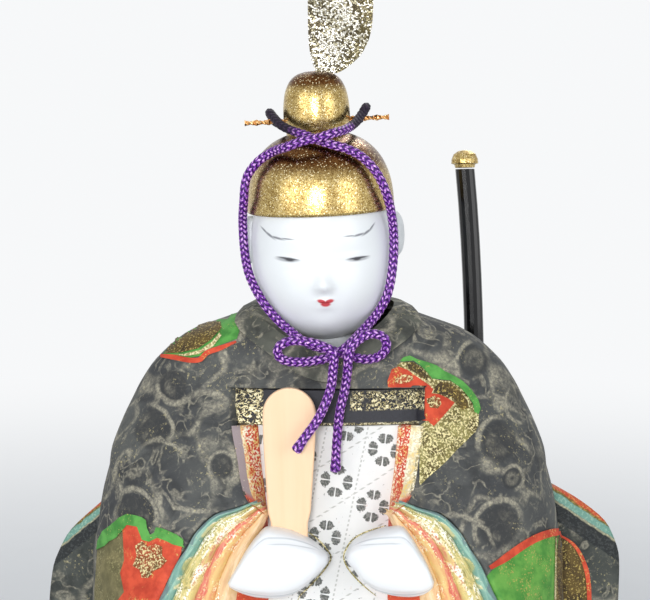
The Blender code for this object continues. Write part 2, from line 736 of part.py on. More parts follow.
def make_wing(side, name, cloth, parent):
    first, last = WING_START_ANGLE, BACK_SEAM_ANGLE - 2 * GAP / ROBE_HALF_WIDTH
    top = WING_TOP + side * WING_TOP_LEAN

    def outer(angle, height, share):
        along = share if side > 0 else 1 - share
        wide = WING_REACH + side * WING_LEAN * (height / top) ** WING_LEAN_POWER
        reach = read_table(WING_SHARES, height / top)[0] * wide
        return robe_radius(angle, height) + reach * (1 - WING_FALL_SHARE * along**2)

    def inner(angle, height):
        return robe_radius(angle, height) + GAP

    low, high = (first, last) if side > 0 else (-last, -first)
    edges = (lambda height: (low, low), lambda height: (high, high))
    rows = [share * ROBE_HEIGHT for share in SLEEVE_ROW_SHARES if share * ROBE_HEIGHT < top]
    return patch(name, rows + [top], *edges, inner, outer, SLEEVE_COLUMNS - 3, cloth, parent)


def make_cuff(side, name, layer, cloth, parent):
    """One padded layer between the sleeve's edge (share 0) and the hand (share 1)."""
    first, last = CUFF_SHARES[layer]
    depth = CUFF_STEP * (1 + list(CUFF_SHARES).index(layer))
    outside, inside = [], []
    for (sleeve_height, sleeve_x), (hand_height, hand_x) in zip(SLEEVE_EDGE_SHARES, CUFF_EDGE_SHARES):
        outer, inner = [], []
        for i in range(CUFF_COLUMNS + 1):
            across = i / CUFF_COLUMNS if side < 0 else 1 - i / CUFF_COLUMNS
            share = mix(first, last, across)
            height = mix(sleeve_height, hand_height, share) * ROBE_HEIGHT
            x = mix(sleeve_x, hand_x, share) * ROBE_HALF_WIDTH + GAP * (across - 0.5)
            angle, angle_in = edge_angles(side, x, height)
            face = ring_point(angle, robe_radius(angle, height), height)
            back = ring_point(angle_in, inside_radius(angle_in, height), height)
            sink = depth - CUFF_CROWN * sin(pi * across)
            outer.append(face + (back - face).normalized() * sink)
            inner.append(back)
        outside.append(outer)
        inside.append(inner)
    return closed_shell(name, outside, inside, cloth, parent)


def core_patch(name, heights, low_x, high_x, thickness, columns, material, parent):
    """A piece that lies on the front of the core, between two distances measured on the panel's face."""
    face, proud = LINING_GAP + PANEL_THICKNESS, LINING_GAP + thickness

    def edge(distance):
        def angles(height):
            x = distance(height)
            radius = form_radius(CORE, front_angle(CORE, x, height), height)
            angle = front_angle(CORE, x * radius / (radius + face), height)
            return angle, angle

        return angles

    def outer(angle, height, _):
        return form_radius(CORE, angle, height) + proud

    shape = (inside_radius, outer)
    return patch(name, heights, edge(low_x), edge(high_x), *shape, columns, material, parent)


def panel_half_width(height):
    return BAND_HALF_WIDTH * read_table(PANEL_SHARES, height / BAND_BOTTOM)[0]


def make_chest(finishes, parent):
    band = [mix(BAND_BOTTOM, BAND_TOP, share) for share in (0, 0.5, 1)]
    low, high = (lambda height: -BAND_HALF_WIDTH), (lambda height: BAND_HALF_WIDTH)
    core_patch("chest_band", band, low, high, BAND_THICKNESS, PANEL_COLUMNS + 2, finishes["band"], parent)

    rows = [share * (BAND_BOTTOM - GAP) for share in PANEL_ROW_SHARES]
    low, high = (lambda height: -panel_half_width(height)), panel_half_width
    core_patch("front_panel", rows, low, high, PANEL_THICKNESS, PANEL_COLUMNS, finishes["panel"], parent)

    for side, word in ((-1, "right"), (1, "left")):
        rows = [mix(STRIP_BOTTOM, BAND_BOTTOM - GAP, share) for share in (0, 0.35, 0.7, 1)]
        material = finishes["strip"]
        side_patch(word + "_side_strip", side, rows, sleeve_edge, STRIP_THICKNESS, material, parent)
        top = HAND_HEIGHT - HAND_HALF_HEIGHT - GAP - GAP
        heights = [row[0] * ROBE_HEIGHT for row in CUFF_EDGE_SHARES]
        rows = [height for height in heights if height < top - GAP] + [top]
        material = finishes["red"]
        side_patch(word + "_under_robe", side, rows, cuff_foot, UNDER_ROBE_THICKNESS, material, parent)


def side_patch(name, side, rows, reach, thickness, material, parent):
    """A piece between the panel and the sleeve or its innermost layer."""

    def near(height):
        return side * (panel_half_width(height) + GAP)

    def far(height):
        return side * (reach(height) - EDGE_GAP)

    ends = (near, far) if side > 0 else (far, near)
    return core_patch(name, rows, *ends, thickness, CUFF_COLUMNS, material, parent)


def make_core(clay, wood, parent):
    turns = full_turn(CORE_SEGMENTS)
    rings = []
    for share in [row[0] for row in CORE_SHARES]:
        height = share * CORE_TOP
        rings.append([ring_point(a, form_radius(CORE, a, height), height) for a in turns])
    core = stacked_rings("body_core", rings, clay, parent)

    def board_rings(spare, low, high):
        radii = [BOARD_SHARE * form_radius(CORE, a, 0) + spare for a in turns]
        return [[ring_point(a, r, z) for a, r in zip(turns, radii)] for z in (low, high)]

    stacked_rings("base_board", board_rings(0, 0, BOARD_THICKNESS), wood, parent)
    recess = board_rings(GAP, -OVERRUN, BOARD_THICKNESS + GAP)
    cut(core, make_cutter(stacked_rings("board_recess", recess, wood, parent)))
    return core


# Collar


def collar_height(angle, front, side):
    return side - (side - front) * max(0.0, cos(angle)) ** 2


def make_neck_cutter(material, parent):
    """Everything above the collar's seat, which the robe pieces give up."""
    rings = []
    spread = COLLAR_PROUD + EDGE_GAP
    for angle in full_turn(CORE_SEGMENTS):
        seat = collar_height(angle, COLLAR_FRONT_BOTTOM, COLLAR_SIDE_BOTTOM) - GAP
        wide = robe_radius(angle, seat) + spread
        narrow = min(NECK_HOLE_FRONT, NECK_HOLE_BACK) - spread
        top = COLLAR_SIDE_TOP + OVERRUN
        rings.append(
            [
                ring_point(angle, narrow, seat - GAP),
                ring_point(angle, wide, seat),
                ring_point(angle, wide + spread, top),
                ring_point(angle, narrow, top),
            ]
        )
    return make_cutter(looped_sections("collar_seat", rings, material, parent))


def make_collar(cloth, parent):
    sections = []
    for angle in full_turn(CORE_SEGMENTS):
        seat = collar_height(angle, COLLAR_FRONT_BOTTOM, COLLAR_SIDE_BOTTOM)
        rim = collar_height(angle, COLLAR_FRONT_TOP, COLLAR_SIDE_TOP)
        low = robe_radius(angle, seat) + COLLAR_PROUD
        sizes = (COLLAR_TOP_HALF_WIDTH, COLLAR_TOP_FRONT, COLLAR_TOP_BACK)
        high = oval_radius(*sizes, ROBE_SQUARENESS, angle)
        middle = (low + high) / 2
        inner = COLLAR_THICKNESS
        sections.append(
            [
                ring_point(angle, low, seat),
                ring_point(angle, middle + COLLAR_CROWN, mix(seat, rim, 0.5)),
                ring_point(angle, high, rim),
                ring_point(angle, high - inner, rim),
                ring_point(angle, middle - inner, mix(seat, rim, 0.45)),
                ring_point(angle, low - inner, seat),
            ]
        )
    return looped_sections("collar", sections, cloth, parent)


# Hands and tablet


def hand_rings(side, knuckle, spare=0.0):
    rings = []
    for share, tall, deep in HAND_SHARES:
        x = mix(knuckle, WRIST_X, share)
        if spare:
            x += copysign(spare, share - 0.5)
        reach = mix(HAND_REACH, WRIST_REACH, share**WRIST_SINK_POWER)
        high, wide = HAND_HALF_HEIGHT * tall + spare, HAND_HALF_DEPTH * deep + spare
        ring = []
        for angle in full_turn(ROUND_SEGMENTS - 4):
            radius = oval_radius(wide, high, high, ROBE_SQUARENESS, angle)
            ring.append((x, radius * sin(angle) - reach, radius * cos(angle) + HAND_HEIGHT))
        rings.append([Vector((side * x, y, z)) for x, y, z in ring])
    return rings if side < 0 else rings[::-1]


def make_hand(side, name, knuckle, skin, wood, core, parent):
    hand = stacked_rings(name, hand_rings(side, knuckle), skin, parent)
    pocket = stacked_rings(name + "_pocket", hand_rings(side, knuckle, GAP), skin, parent)
    peg_along_y(name + "_peg", side, 0, wood, parent)
    bore = make_cutter(peg_along_y(name + "_bore", side, GAP, wood, parent))
    cut(hand, bore)
    cut(core, bore)
    return hand, make_cutter(pocket)


def peg_along_y(name, side, spare, wood, parent):
    length = HAND_PEG_FRONT - HAND_PEG_BACK + spare
    peg = round_bar(name, HAND_PEG_RADIUS + spare, -spare, length, wood, parent)
    peg.rotation_euler = (pi / 2, 0, 0)
    peg.location = (side * HAND_PEG_X, -HAND_PEG_BACK, HAND_HEIGHT)
    return peg


def make_shaku(wood, hand, parent):
    half, grip = SHAKU_WIDTH / 2, SHAKU_GRIP_WIDTH / 2
    arch_height = SHAKU_RISE - half
    right = [(grip, -SHAKU_FOOT), (grip, SHAKU_GRIP_RISE)]
    for share in SHAKU_NECK_SHARES:
        ease = share * share * (3 - 2 * share)
        right.append((mix(grip, half, ease), mix(SHAKU_GRIP_RISE, SHAKU_SHOULDER_RISE, share)))
    turns = [pi * i / SHAKU_ARCH_STEPS for i in range(SHAKU_ARCH_STEPS + 1)]
    arch = [(half * cos(t), arch_height + half * sin(t)) for t in turns]
    left = [(-x, z) for x, z in reversed(right)]
    outline = right + arch + left
    deep = SHAKU_THICKNESS / 2
    rings = [[Vector((x, y, z)) for x, z in outline] for y in (deep, -deep)]
    shaku = stacked_rings("shaku", rings, wood, parent)
    shaku.location = (-RIGHT_KNUCKLE_X - SHAKU_OUT, SHAKU_DRAWN_BACK - HAND_REACH, HAND_HEIGHT)
    bevel = shaku.modifiers.new("rounded edges", "BEVEL")
    bevel.width = SHAKU_EDGE_ROUND
    bevel.segments = 2
    bevel.limit_method = "ANGLE"

    wide, thick = grip + GAP, deep + GAP
    corners = [(-wide, -thick), (wide, -thick), (wide, thick), (-wide, thick)]
    ends = (-SHAKU_FOOT - GAP, HAND_HALF_HEIGHT + OVERRUN)
    slot_rings = [[Vector((x, y, z)) for x, y in corners] for z in ends]
    slot = make_cutter(stacked_rings("shaku_slot", slot_rings, wood, parent))
    slot.location = shaku.location
    cut(hand, slot)


# Head


def skull_share(height):
    """Share of the face's half width at a height above the core's top."""
    rise = height - HEAD_MIDDLE
    if rise < 0:
        return (1 - (-rise / JAW_DROP) ** JAW_SQUARENESS) ** (1 / JAW_SQUARENESS)
    return (1 - (rise / BROW_RISE) ** CAP_SQUARENESS) ** (1 / CAP_SQUARENESS)


def face_relief(x, height):
    """How far nose, brow, lips, chin and cheeks stand out from the egg shape of the face."""
    nose = HEAD_MIDDLE - NOSE_DROP_SHARE * JAW_DROP
    across, up = x / HEAD_HALF_WIDTH, (height - nose) / HEAD_HALF_WIDTH
    relief = 0.0
    for reach, side, rise, wide, tall in FACE_SHARES:
        for place in {side, -side}:
            relief += reach * exp(-(((across - place) / wide) ** 2) - ((up - rise) / tall) ** 2)
    return relief * NOSE_REACH


def head_ring(height, half_width, front, back, relief=True):
    ring = []
    for angle in full_turn(HEAD_SEGMENTS):
        radius = oval_radius(half_width, front, back, 2, angle)
        point = ring_point(angle, radius, height)
        if relief and cos(angle) > 0:
            point.y -= face_relief(point.x, height) * cos(angle)
        ring.append(point)
    return ring


def make_head(skin, parent):
    face_rows = [HEAD_MIDDLE - JAW_DROP * sin(pi / 2 * share) for share in JAW_ROW_SHARES]
    face_rows += [mix(face_rows[-1], BRIM_RISE - GAP, i / FACE_ROWS) for i in range(1, FACE_ROWS + 1)]
    rings = []
    for height in face_rows:
        share = skull_share(height)
        sizes = (HEAD_HALF_WIDTH * share, HEAD_FRONT * share, HEAD_BACK * share)
        rings.append(head_ring(height, *sizes))
    for share in SKULL_ROW_SHARES:
        height = BRIM_RISE - GAP + share * (CAP_HEIGHT - CAP_WALL)
        rings.append(head_ring(height, *cap_sizes(share, -CAP_WALL - GAP), relief=False))
    head = stacked_rings("head", rings, skin, parent)
    head.location = (0, -HEAD_FORWARD, 0)

    neck = round_bar("neck", NECK_RADIUS, GAP, NECK_TOP, skin, parent, ROUND_SEGMENTS)
    join(head, neck)
    for side in (-1, 1):
        join(head, make_ear(side, skin, parent))
    bore = round_bar("head_bore", PEG_RADIUS + GAP, -OVERRUN, PEG_IN_HEAD + GAP, skin, parent)
    cut(head, make_cutter(bore))
    return head


def make_ear(side, skin, parent):
    rings = []
    for up in EAR_ROW_SHARES:
        share = (1 - up * up) ** 0.5
        turns = full_turn(PEG_SEGMENTS)
        wide, deep = EAR_HALF_WIDTH * share, EAR_HALF_DEPTH * share
        rings.append([Vector((wide * cos(t), deep * sin(t), EAR_HALF_HEIGHT * up)) for t in turns])
    ear = stacked_rings("ear", rings, skin, parent)
    ear.location = (side * EAR_OUT, EAR_BACK - HEAD_FORWARD, HEAD_MIDDLE + EAR_RISE)
    ear.rotation_euler = (0, 0, -side * EAR_TURN)
    return ear


# Crown


def cap_sizes(share, spare):
    """Half width, front and back of the crown's cap at a share of its height, grown by a spare."""
    narrow = max(0.0, 1 - share**CAP_SQUARENESS) ** (1 / CAP_SQUARENESS)
    return tuple(size * narrow + spare for size in (CAP_HALF_WIDTH, CAP_FRONT, CAP_BACK))


def cap_rings(spare, shares):
    """Rings of the cap's outside, grown by a spare, up to the flat of its crown."""
    rings = []
    for share in shares:
        height = BRIM_RISE + share * CAP_HEIGHT
        rings.append(head_ring(height, *cap_sizes(share, spare), relief=False))
    top = BRIM_RISE + CAP_HEIGHT + spare
    crown = [Vector((p.x * CAP_CROWN_SHARE, p.y * CAP_CROWN_SHARE, top)) for p in rings[-1]]
    return rings + [crown]


def make_cap(gilt, parent):
    """A thin shell, closed at its crown and open at its brim, which the head fills."""
    cap = stacked_rings("crown_cap", cap_rings(0, CAP_ROW_SHARES), gilt, parent)
    cap.location = (0, -HEAD_FORWARD, 0)
    mouth = head_ring(BRIM_RISE - OVERRUN, *cap_sizes(0, -CAP_WALL), relief=False)
    hollow_rings = [mouth]
    for share in SKULL_ROW_SHARES:
        height = BRIM_RISE + share * (CAP_HEIGHT - CAP_WALL)
        hollow_rings.append(head_ring(height, *cap_sizes(share, -CAP_WALL), relief=False))
    hollow = make_cutter(stacked_rings("cap_hollow", hollow_rings, gilt, parent))
    hollow.location = cap.location
    cut(cap, hollow)
    return cap


def make_knob(gilt, parent):
    crown = BRIM_RISE + CAP_HEIGHT
    profile = [(r * KNOB_RADIUS, crown + z * KNOB_HEIGHT) for r, z in KNOB_SHARES]
    profile.append((KNOB_RADIUS * KNOB_SHARES[-1][0], crown - KNOB_SINK))
    turns = full_turn(ROUND_SEGMENTS)
    rings = [[Vector((r * cos(t), r * sin(t), z)) for t in turns] for r, z in reversed(profile)]
    knob = stacked_rings("crown_knob", rings, gilt, parent)
    knob.location = (0, -HEAD_FORWARD / 2, 0)

    seat = make_cutter(stacked_rings("knob_seat", cap_rings(GAP, KNOB_SEAT_ROW_SHARES), gilt, parent))
    seat.location = (0, -HEAD_FORWARD, 0)
    cut(knob, seat)

    pin_hole = round_bar("pin_hole", PIN_RADIUS + GAP, -PIN_HALF_LENGTH, PIN_HALF_LENGTH, gilt, parent)
    place_pin(pin_hole)
    cut(knob, make_cutter(pin_hole))
    return knob


def place_pin(thing):
    thing.rotation_euler = (0, pi / 2, 0)
    thing.location = (0, -HEAD_FORWARD / 2, BRIM_RISE + CAP_HEIGHT + PIN_RISE)


def make_hairpin(gilt, parent):
    """Two wires twisted together: an oval section that turns as it runs."""
    steps = PIN_TURNS * PIN_STEPS
    rings = []
    for i in range(steps + 1):
        along = mix(-PIN_HALF_LENGTH, PIN_HALF_LENGTH, i / steps)
        twist = Matrix.Rotation(2 * pi * PIN_TURNS * i / steps, 3, "Z")
        ring = []
        for t in full_turn(PIN_SIDES):
            point = Vector((PIN_RADIUS * cos(t), PIN_FLATNESS_SHARE * PIN_RADIUS * sin(t), 0))
            ring.append(twist @ point + Vector((0, 0, along)))
        rings.append(ring)
    pin = stacked_rings("hairpin", rings, gilt, parent)
    place_pin(pin)
    return pin


def make_plume(weave, knob, parent):
    top = BRIM_RISE + CAP_HEIGHT + KNOB_HEIGHT + GAP
    half = PLUME_THICKNESS / 2
    tongue = TONGUE_WIDTH / 2
    front, back = [], []
    rows = [(top - TONGUE_DEPTH, TONGUE_X - tongue, TONGUE_X + tongue, 0)]
    rows.append((top - GAP, TONGUE_X - tongue, TONGUE_X + tongue, 0))
    for share, left, right in PLUME_SHARES:
        low, high = left * PLUME_WIDTH - PLUME_LEFT, right * PLUME_WIDTH - PLUME_LEFT
        rows.append((top + share * PLUME_LENGTH, low, high, PLUME_LEAN * share**PLUME_BEND_POWER))
    for height, low, high, lean in rows:
        xs = [mix(low, high, i / 4) for i in range(5)]
        front.append([Vector((x, lean - half, height)) for x in xs])
        back.append([Vector((x, lean + half, height)) for x in xs])
    plume = closed_shell("plume", front, back, weave, parent)
    plume.location = (0, -HEAD_FORWARD / 2, 0)

    wide, thick = tongue + GAP, half + GAP
    corners = [(-wide, -thick), (wide, -thick), (wide, thick), (-wide, thick)]
    ends = (top - TONGUE_DEPTH - GAP, top + OVERRUN)
    slot_rings = [[Vector((x, y, z)) for x, y in corners] for z in ends]
    slot = make_cutter(stacked_rings("plume_slot", slot_rings, weave, parent))
    slot.location = (TONGUE_X, -HEAD_FORWARD / 2, 0)
    cut(knob, slot)
    return plume


# Sword


def make_sword(lacquer, gilt, sleeve, parent):
    axis = new_empty("sword_axis", parent, (SWORD_X, SWORD_BACK, SWORD_MOUTH_HEIGHT))
    axis.rotation_euler = (-SWORD_LEAN, -SWORD_ROLL, 0)
    turns = full_turn(PEG_SEGMENTS)

    def oval(along, wide, deep):
        bend = SCABBARD_BEND * max(0.0, along / SCABBARD_LENGTH) ** 3
        return [Vector((wide * cos(t) - bend, deep * sin(t), along)) for t in turns]

    peg = SCABBARD_PEG_RADIUS
    rings = [oval(-SCABBARD_PEG_LENGTH, peg, peg), oval(GAP, peg, peg)]
    rings += [oval(GAP, SCABBARD_HALF_WIDTH, SCABBARD_HALF_DEPTH)]
    for share in SCABBARD_ROW_SHARES:
        rings.append(oval(share * SCABBARD_LENGTH, SCABBARD_HALF_WIDTH, SCABBARD_HALF_DEPTH))
    stacked_rings("scabbard", rings, lacquer, axis)

    rings = []
    for wide, up in SWORD_CAP_SHARES:
        radius, z = wide * CAP_RING_RADIUS, SCABBARD_LENGTH + GAP + up * CAP_RING_HEIGHT
        rings.append([Vector((radius * cos(t) - SCABBARD_BEND, radius * sin(t), z)) for t in turns])
    stacked_rings("scabbard_cap", rings, gilt, axis)

    hole = round_bar("sword_hole", peg + GAP, -SCABBARD_PEG_LENGTH - GAP, OVERRUN, lacquer, axis)
    cut(sleeve, make_cutter(hole))
    seat = round_bar("sword_seat", SCABBARD_HALF_WIDTH + GAP, 0, SCABBARD_LENGTH, lacquer, axis)
    cut(sleeve, make_cutter(seat))


# Chin cord


def curve_through(points, step):
    """Points at even steps on a smooth curve through the given ones."""
    path = [Vector(point) for point in points]
    path = [path[0] * 2 - path[1]] + path + [path[-1] * 2 - path[-2]]
    curve = []
    for before, start, end, after in zip(path, path[1:], path[2:], path[3:]):
        span = (end - start).length
        leave = (end - before).normalized() * span
        arrive = (after - start).normalized() * span
        count = max(1, round(span / step))
        for i in range(count):
            t = i / count
            point = (2 * t**3 - 3 * t**2 + 1) * start + (3 * t**2 - 2 * t**3) * end
            curve.append(point + (t**3 - 2 * t**2 + t) * leave + (t**3 - t**2) * arrive)
    return curve + [path[-2]]


def thin_out(curve):
    """Fewer points: far apart on straight runs, close together in bends."""
    kept, run, turn = [curve[0]], 0.0, 0.0
    for before, here, after in zip(curve, curve[1:], curve[2:]):
        run += (here - before).length
        turn += (here - before).angle(after - here)
        if run > CORD_LONGEST_RUN or turn > CORD_SHARPEST_TURN:
            kept.append(here)
            run, turn = 0.0, 0.0
    return kept + [curve[-1]]


def least_self_gap(curve):
    """Smallest clear distance between two stretches of the cord that aren't neighbours."""
    apart = round(CORD_SELF_TOUCH / CORD_CURVE_STEP)
    pairs = ((a, b) for i, a in enumerate(curve) for b in curve[i + apart:])
    return min((a - b).length for a, b in pairs) - 2 * CORD_RADIUS


def make_chin_cord(braid, parent):
    curve = curve_through(CORD_ROUTE, CORD_CURVE_STEP)
    points = thin_out(curve)
    print(f"chin cord: {len(points)} points, least gap to itself {least_self_gap(curve):.5f} m")
    data = bpy.data.curves.new("chin_cord", "CURVE")
    data.dimensions = "3D"
    data.bevel_depth = CORD_RADIUS
    data.bevel_resolution = 2
    data.use_fill_caps = True
    spline = data.splines.new("POLY")
    spline.points.add(len(points) - 1)
    for target, point in zip(spline.points, points):
        target.co = (*point, 1)
    spline.use_smooth = True
    data.materials.append(braid)
    cord = bpy.data.objects.new("chin_cord", data)
    bpy.context.scene.collection.objects.link(cord)
    cord.parent = parent
    cord.location = (0, 0, CORE_TOP)


def remove_everything():
    for thing in list(bpy.data.objects):
        bpy.data.objects.remove(thing, do_unlink=True)


def build_doll():
    remove_everything()
    robe = finish("charcoal robe", (0.075, 0.075, 0.085), 0.75)
    clay = finish("pressed wood clay", (0.62, 0.52, 0.40), 0.85)
    skin = finish("white shell paint", (0.93, 0.93, 0.92), 0.45)
    gilt = finish("gilt", (0.75, 0.55, 0.18), 0.32, 1.0)
    wood = finish("pale wood", (0.96, 0.72, 0.48), 0.6)
    weave = finish("gold weave", (0.80, 0.68, 0.38), 0.4, 0.8)
    lacquer = finish("black lacquer", (0.01, 0.01, 0.012), 0.08)
    braid = finish("purple braid", (0.17, 0.02, 0.36), 0.6)
    dress = {
        "band": finish("navy brocade", (0.03, 0.04, 0.07), 0.6),
        "panel": finish("white brocade", (0.88, 0.88, 0.86), 0.7),
        "strip": finish("striped edges", (0.72, 0.35, 0.25), 0.7),
        "red": finish("red under robe", (0.80, 0.10, 0.06), 0.7),
    }
    layers = {
        "edge": finish("sea green edge", (0.20, 0.42, 0.40), 0.7),
        "gold": finish("gold layer", (0.68, 0.52, 0.18), 0.5, 0.5),
        "rose": finish("rose layer", (0.85, 0.38, 0.28), 0.7),
        "tan": finish("tan layer", (0.85, 0.55, 0.33), 0.7),
    }

    doll = new_empty("doll", location=(0, TORSO_AXIS_Y, 0))
    neck_axis = new_empty("neck_axis", doll, (0, 0, CORE_TOP))
    neck_axis.rotation_euler = (0, -HEAD_TILT, 0)

    core = make_core(clay, wood, doll)
    peg_bore = round_bar("peg_bore", PEG_RADIUS + GAP, -PEG_IN_BODY - GAP, OVERRUN, wood, neck_axis)
    cut(core, make_cutter(peg_bore))
    round_bar("neck_peg", PEG_RADIUS, -PEG_IN_BODY, PEG_IN_HEAD, wood, neck_axis)

    neck_cutter = make_neck_cutter(robe, doll)
    make_sleeve(-1, "right_sleeve", robe, neck_cutter, doll)
    left_sleeve = make_sleeve(1, "left_sleeve", robe, neck_cutter, doll)
    make_yoke(robe, neck_cutter, doll)
    make_back_robe(robe, neck_cutter, doll)
    make_wing(-1, "right_wing", robe, doll)
    make_wing(1, "left_wing", robe, doll)
    make_collar(robe, doll)
    make_chest(dress, doll)

    right_hand, right_pocket = make_hand(-1, "right_hand", RIGHT_KNUCKLE_X, skin, wood, core, doll)
    _, left_pocket = make_hand(1, "left_hand", LEFT_KNUCKLE_X, skin, wood, core, doll)
    make_shaku(wood, right_hand, doll)
    for side, word, pocket in ((-1, "right", right_pocket), (1, "left", left_pocket)):
        for layer, cloth in layers.items():
            cuff = make_cuff(side, word + "_cuff_" + layer, layer, cloth, doll)
            if layer != "edge":
                cut(cuff, pocket)

    make_head(skin, neck_axis)
    make_cap(gilt, neck_axis)
    knob = make_knob(gilt, neck_axis)
    make_hairpin(gilt, neck_axis)
    make_plume(weave, knob, neck_axis)
    make_sword(lacquer, gilt, left_sleeve, doll)
    make_chin_cord(braid, doll)


build_doll()
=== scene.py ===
import json
from bisect import bisect_right
from functools import lru_cache, reduce
from math import atan2, copysign, cos, exp, pi, radians, sin

import bmesh
import bpy
from mathutils import Matrix, Vector
from mathutils.bvhtree import BVHTree
from mathutils.geometry import delaunay_2d_cdt
from mathutils.kdtree import KDTree


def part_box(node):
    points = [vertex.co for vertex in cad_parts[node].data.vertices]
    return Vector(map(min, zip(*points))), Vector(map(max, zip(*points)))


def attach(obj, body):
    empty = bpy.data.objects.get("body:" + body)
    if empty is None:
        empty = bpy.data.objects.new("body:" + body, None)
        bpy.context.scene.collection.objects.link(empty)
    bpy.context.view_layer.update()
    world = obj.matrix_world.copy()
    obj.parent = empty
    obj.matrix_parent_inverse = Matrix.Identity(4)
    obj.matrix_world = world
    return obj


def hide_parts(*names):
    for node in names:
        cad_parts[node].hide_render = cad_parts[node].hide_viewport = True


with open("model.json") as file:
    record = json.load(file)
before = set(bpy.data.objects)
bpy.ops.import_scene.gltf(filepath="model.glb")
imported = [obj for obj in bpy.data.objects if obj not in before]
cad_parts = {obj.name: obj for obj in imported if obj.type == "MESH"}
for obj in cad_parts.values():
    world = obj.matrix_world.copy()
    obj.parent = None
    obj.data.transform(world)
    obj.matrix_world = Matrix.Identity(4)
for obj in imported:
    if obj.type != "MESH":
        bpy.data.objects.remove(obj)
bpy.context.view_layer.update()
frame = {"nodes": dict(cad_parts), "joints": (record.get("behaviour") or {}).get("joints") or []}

NODES = frame["nodes"]

# Camera: the photograph's view, 550 mm in front of the torso and 7.5 degrees above it
WIDTH_PX, HEIGHT_PX = 650, 600
PIXEL = 0.0002  # metres to a pixel at the torso axis
DISTANCE = 0.550
PITCH = radians(7.5)
AXIS_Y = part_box("neck_peg")[0][1] / 2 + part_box("neck_peg")[1][1] / 2
TARGET = Vector((-0.0006, AXIS_Y, 0.110))
FORWARD = Vector((0, cos(PITCH), -sin(PITCH)))
UP = Vector((0, sin(PITCH), cos(PITCH)))
EYE = TARGET - FORWARD * DISTANCE

SENSOR_MM = 36


def placed(name, data):
    thing = bpy.data.objects.new(name, data)
    bpy.context.scene.collection.objects.link(thing)
    return thing


camera = placed("camera", bpy.data.cameras.new("camera"))
camera.data.sensor_width = SENSOR_MM
camera.data.lens = SENSOR_MM * DISTANCE / (WIDTH_PX * PIXEL)
camera.location = EYE
camera.rotation_euler = (pi / 2 - PITCH, 0, 0)
bpy.context.scene.camera = camera


def pixel_ray(px, py):
    """Direction in which the camera sees a pixel of the photograph."""
    side = (px - WIDTH_PX / 2) * PIXEL
    rise = (HEIGHT_PX / 2 - py) * PIXEL
    return (FORWARD * DISTANCE + Vector((side, 0, 0)) + UP * rise).normalized()


def on_plane(px, py, reach):
    """Where the camera's ray through a pixel is at a distance in front of the origin."""
    ray = pixel_ray(px, py)
    return EYE + ray * ((-reach - EYE.y) / ray.y)


# Pieces


def new_piece(name, vertices, faces, body, finish=None, stands_for=(), crease=180, fields=None):
    """A piece from points and faces; fields are numbers of each point that its finish reads."""
    mesh = bpy.data.meshes.new(name)
    mesh.from_pydata([tuple(v) for v in vertices], [], faces)
    for word, values in (fields or {}).items():
        mesh.attributes.new(word, "FLOAT", "POINT").data.foreach_set("value", values)
    mesh.validate()
    mesh.shade_smooth()
    if crease < 180:
        mesh.set_sharp_from_angle(angle=radians(crease))
    if finish:
        mesh.materials.append(finish)
    piece = placed(name, mesh)
    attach(piece, body)
    if stands_for:
        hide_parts(*stands_for)
    return piece


def grid_faces(rows, columns, closed=False, start=0):
    """Faces of a grid of points, row after row; closed joins the last column to the first."""
    faces = []
    for r in range(rows - 1):
        for c in range(columns if closed else columns - 1):
            after = (c + 1) % columns
            low, high = start + r * columns, start + (r + 1) * columns
            faces.append((low + c, low + after, high + after, high + c))
    return faces


def sheet(name, rows, body, finish, stands_for, closed=False, crease=60, words=()):
    """A piece from rows of points, low to high; where words are given, a point comes with its numbers of them."""
    cells = [cell for row in rows for cell in row]
    fields = {word: [cell[k] for cell in cells] for k, word in enumerate(words, 1)}
    points = [cell[0] for cell in cells] if words else cells
    return new_piece(name, points, grid_faces(len(rows), len(rows[0]), closed), body, finish, stands_for,
                     crease, fields)


def tree_of(*things):
    """A search tree of the faces of pieces."""
    vertices, faces = [], []
    for thing in things:
        start = len(vertices)
        vertices += [v.co.copy() for v in thing.data.vertices]
        faces += [[start + i for i in face.vertices] for face in thing.data.polygons]
    return BVHTree.FromPolygons(vertices, faces)


def repaint(node, finish):
    mesh = NODES[node].data
    mesh.materials.clear()
    mesh.materials.append(finish)
    mesh.shade_smooth()
    mesh.set_sharp_from_angle(angle=radians(50))


def mix(a, b, share):
    return a + (b - a) * share


def ease(value, low, high):
    t = min(max((value - low) / (high - low), 0.0), 1.0)
    return t * t * (3 - 2 * t)


def circle(count):
    """Angles of a full turn in even steps."""
    return [2 * pi * k / count for k in range(count)]


def hermite(start, end, leave, arrive, t):
    """A point of the smooth curve that leaves start and arrives at the end with these slopes."""
    point = (2 * t**3 - 3 * t**2 + 1) * start + (3 * t**2 - 2 * t**3) * end
    return point + (t**3 - 2 * t**2 + t) * leave + (t**3 - t**2) * arrive


def curve_through(points, step):
    """Points at even steps on a smooth curve through the given ones."""
    path = [Vector(point) for point in points]
    path = [path[0] * 2 - path[1]] + path + [path[-1] * 2 - path[-2]]
    curve = []
    for before, start, end, after in zip(path, path[1:], path[2:], path[3:]):
        span = (end - start).length
        leave, arrive = (end - before).normalized() * span, (after - start).normalized() * span
        count = max(1, round(span / step))
        curve += [hermite(start, end, leave, arrive, i / count) for i in range(count)]
    return curve + [path[-2]]


def read_table(table, key):
    """The values of a table at one key, on a smooth curve through its rows."""
    keys = [row[0] for row in table]
    last = len(keys) - 1
    low = min(max(bisect_right(keys, key) - 1, 0), last - 1)
    span = keys[low + 1] - keys[low]
    t = min(max((key - keys[low]) / span, 0.0), 1.0)

    def slope(row, column):
        before, after = max(row - 1, 0), min(row + 1, last)
        return (table[after][column] - table[before][column]) / (keys[after] - keys[before])

    return [hermite(table[low][c], table[low + 1][c], slope(low, c) * span, slope(low + 1, c) * span, t)
            for c in range(1, len(table[0]))]


# Node trees


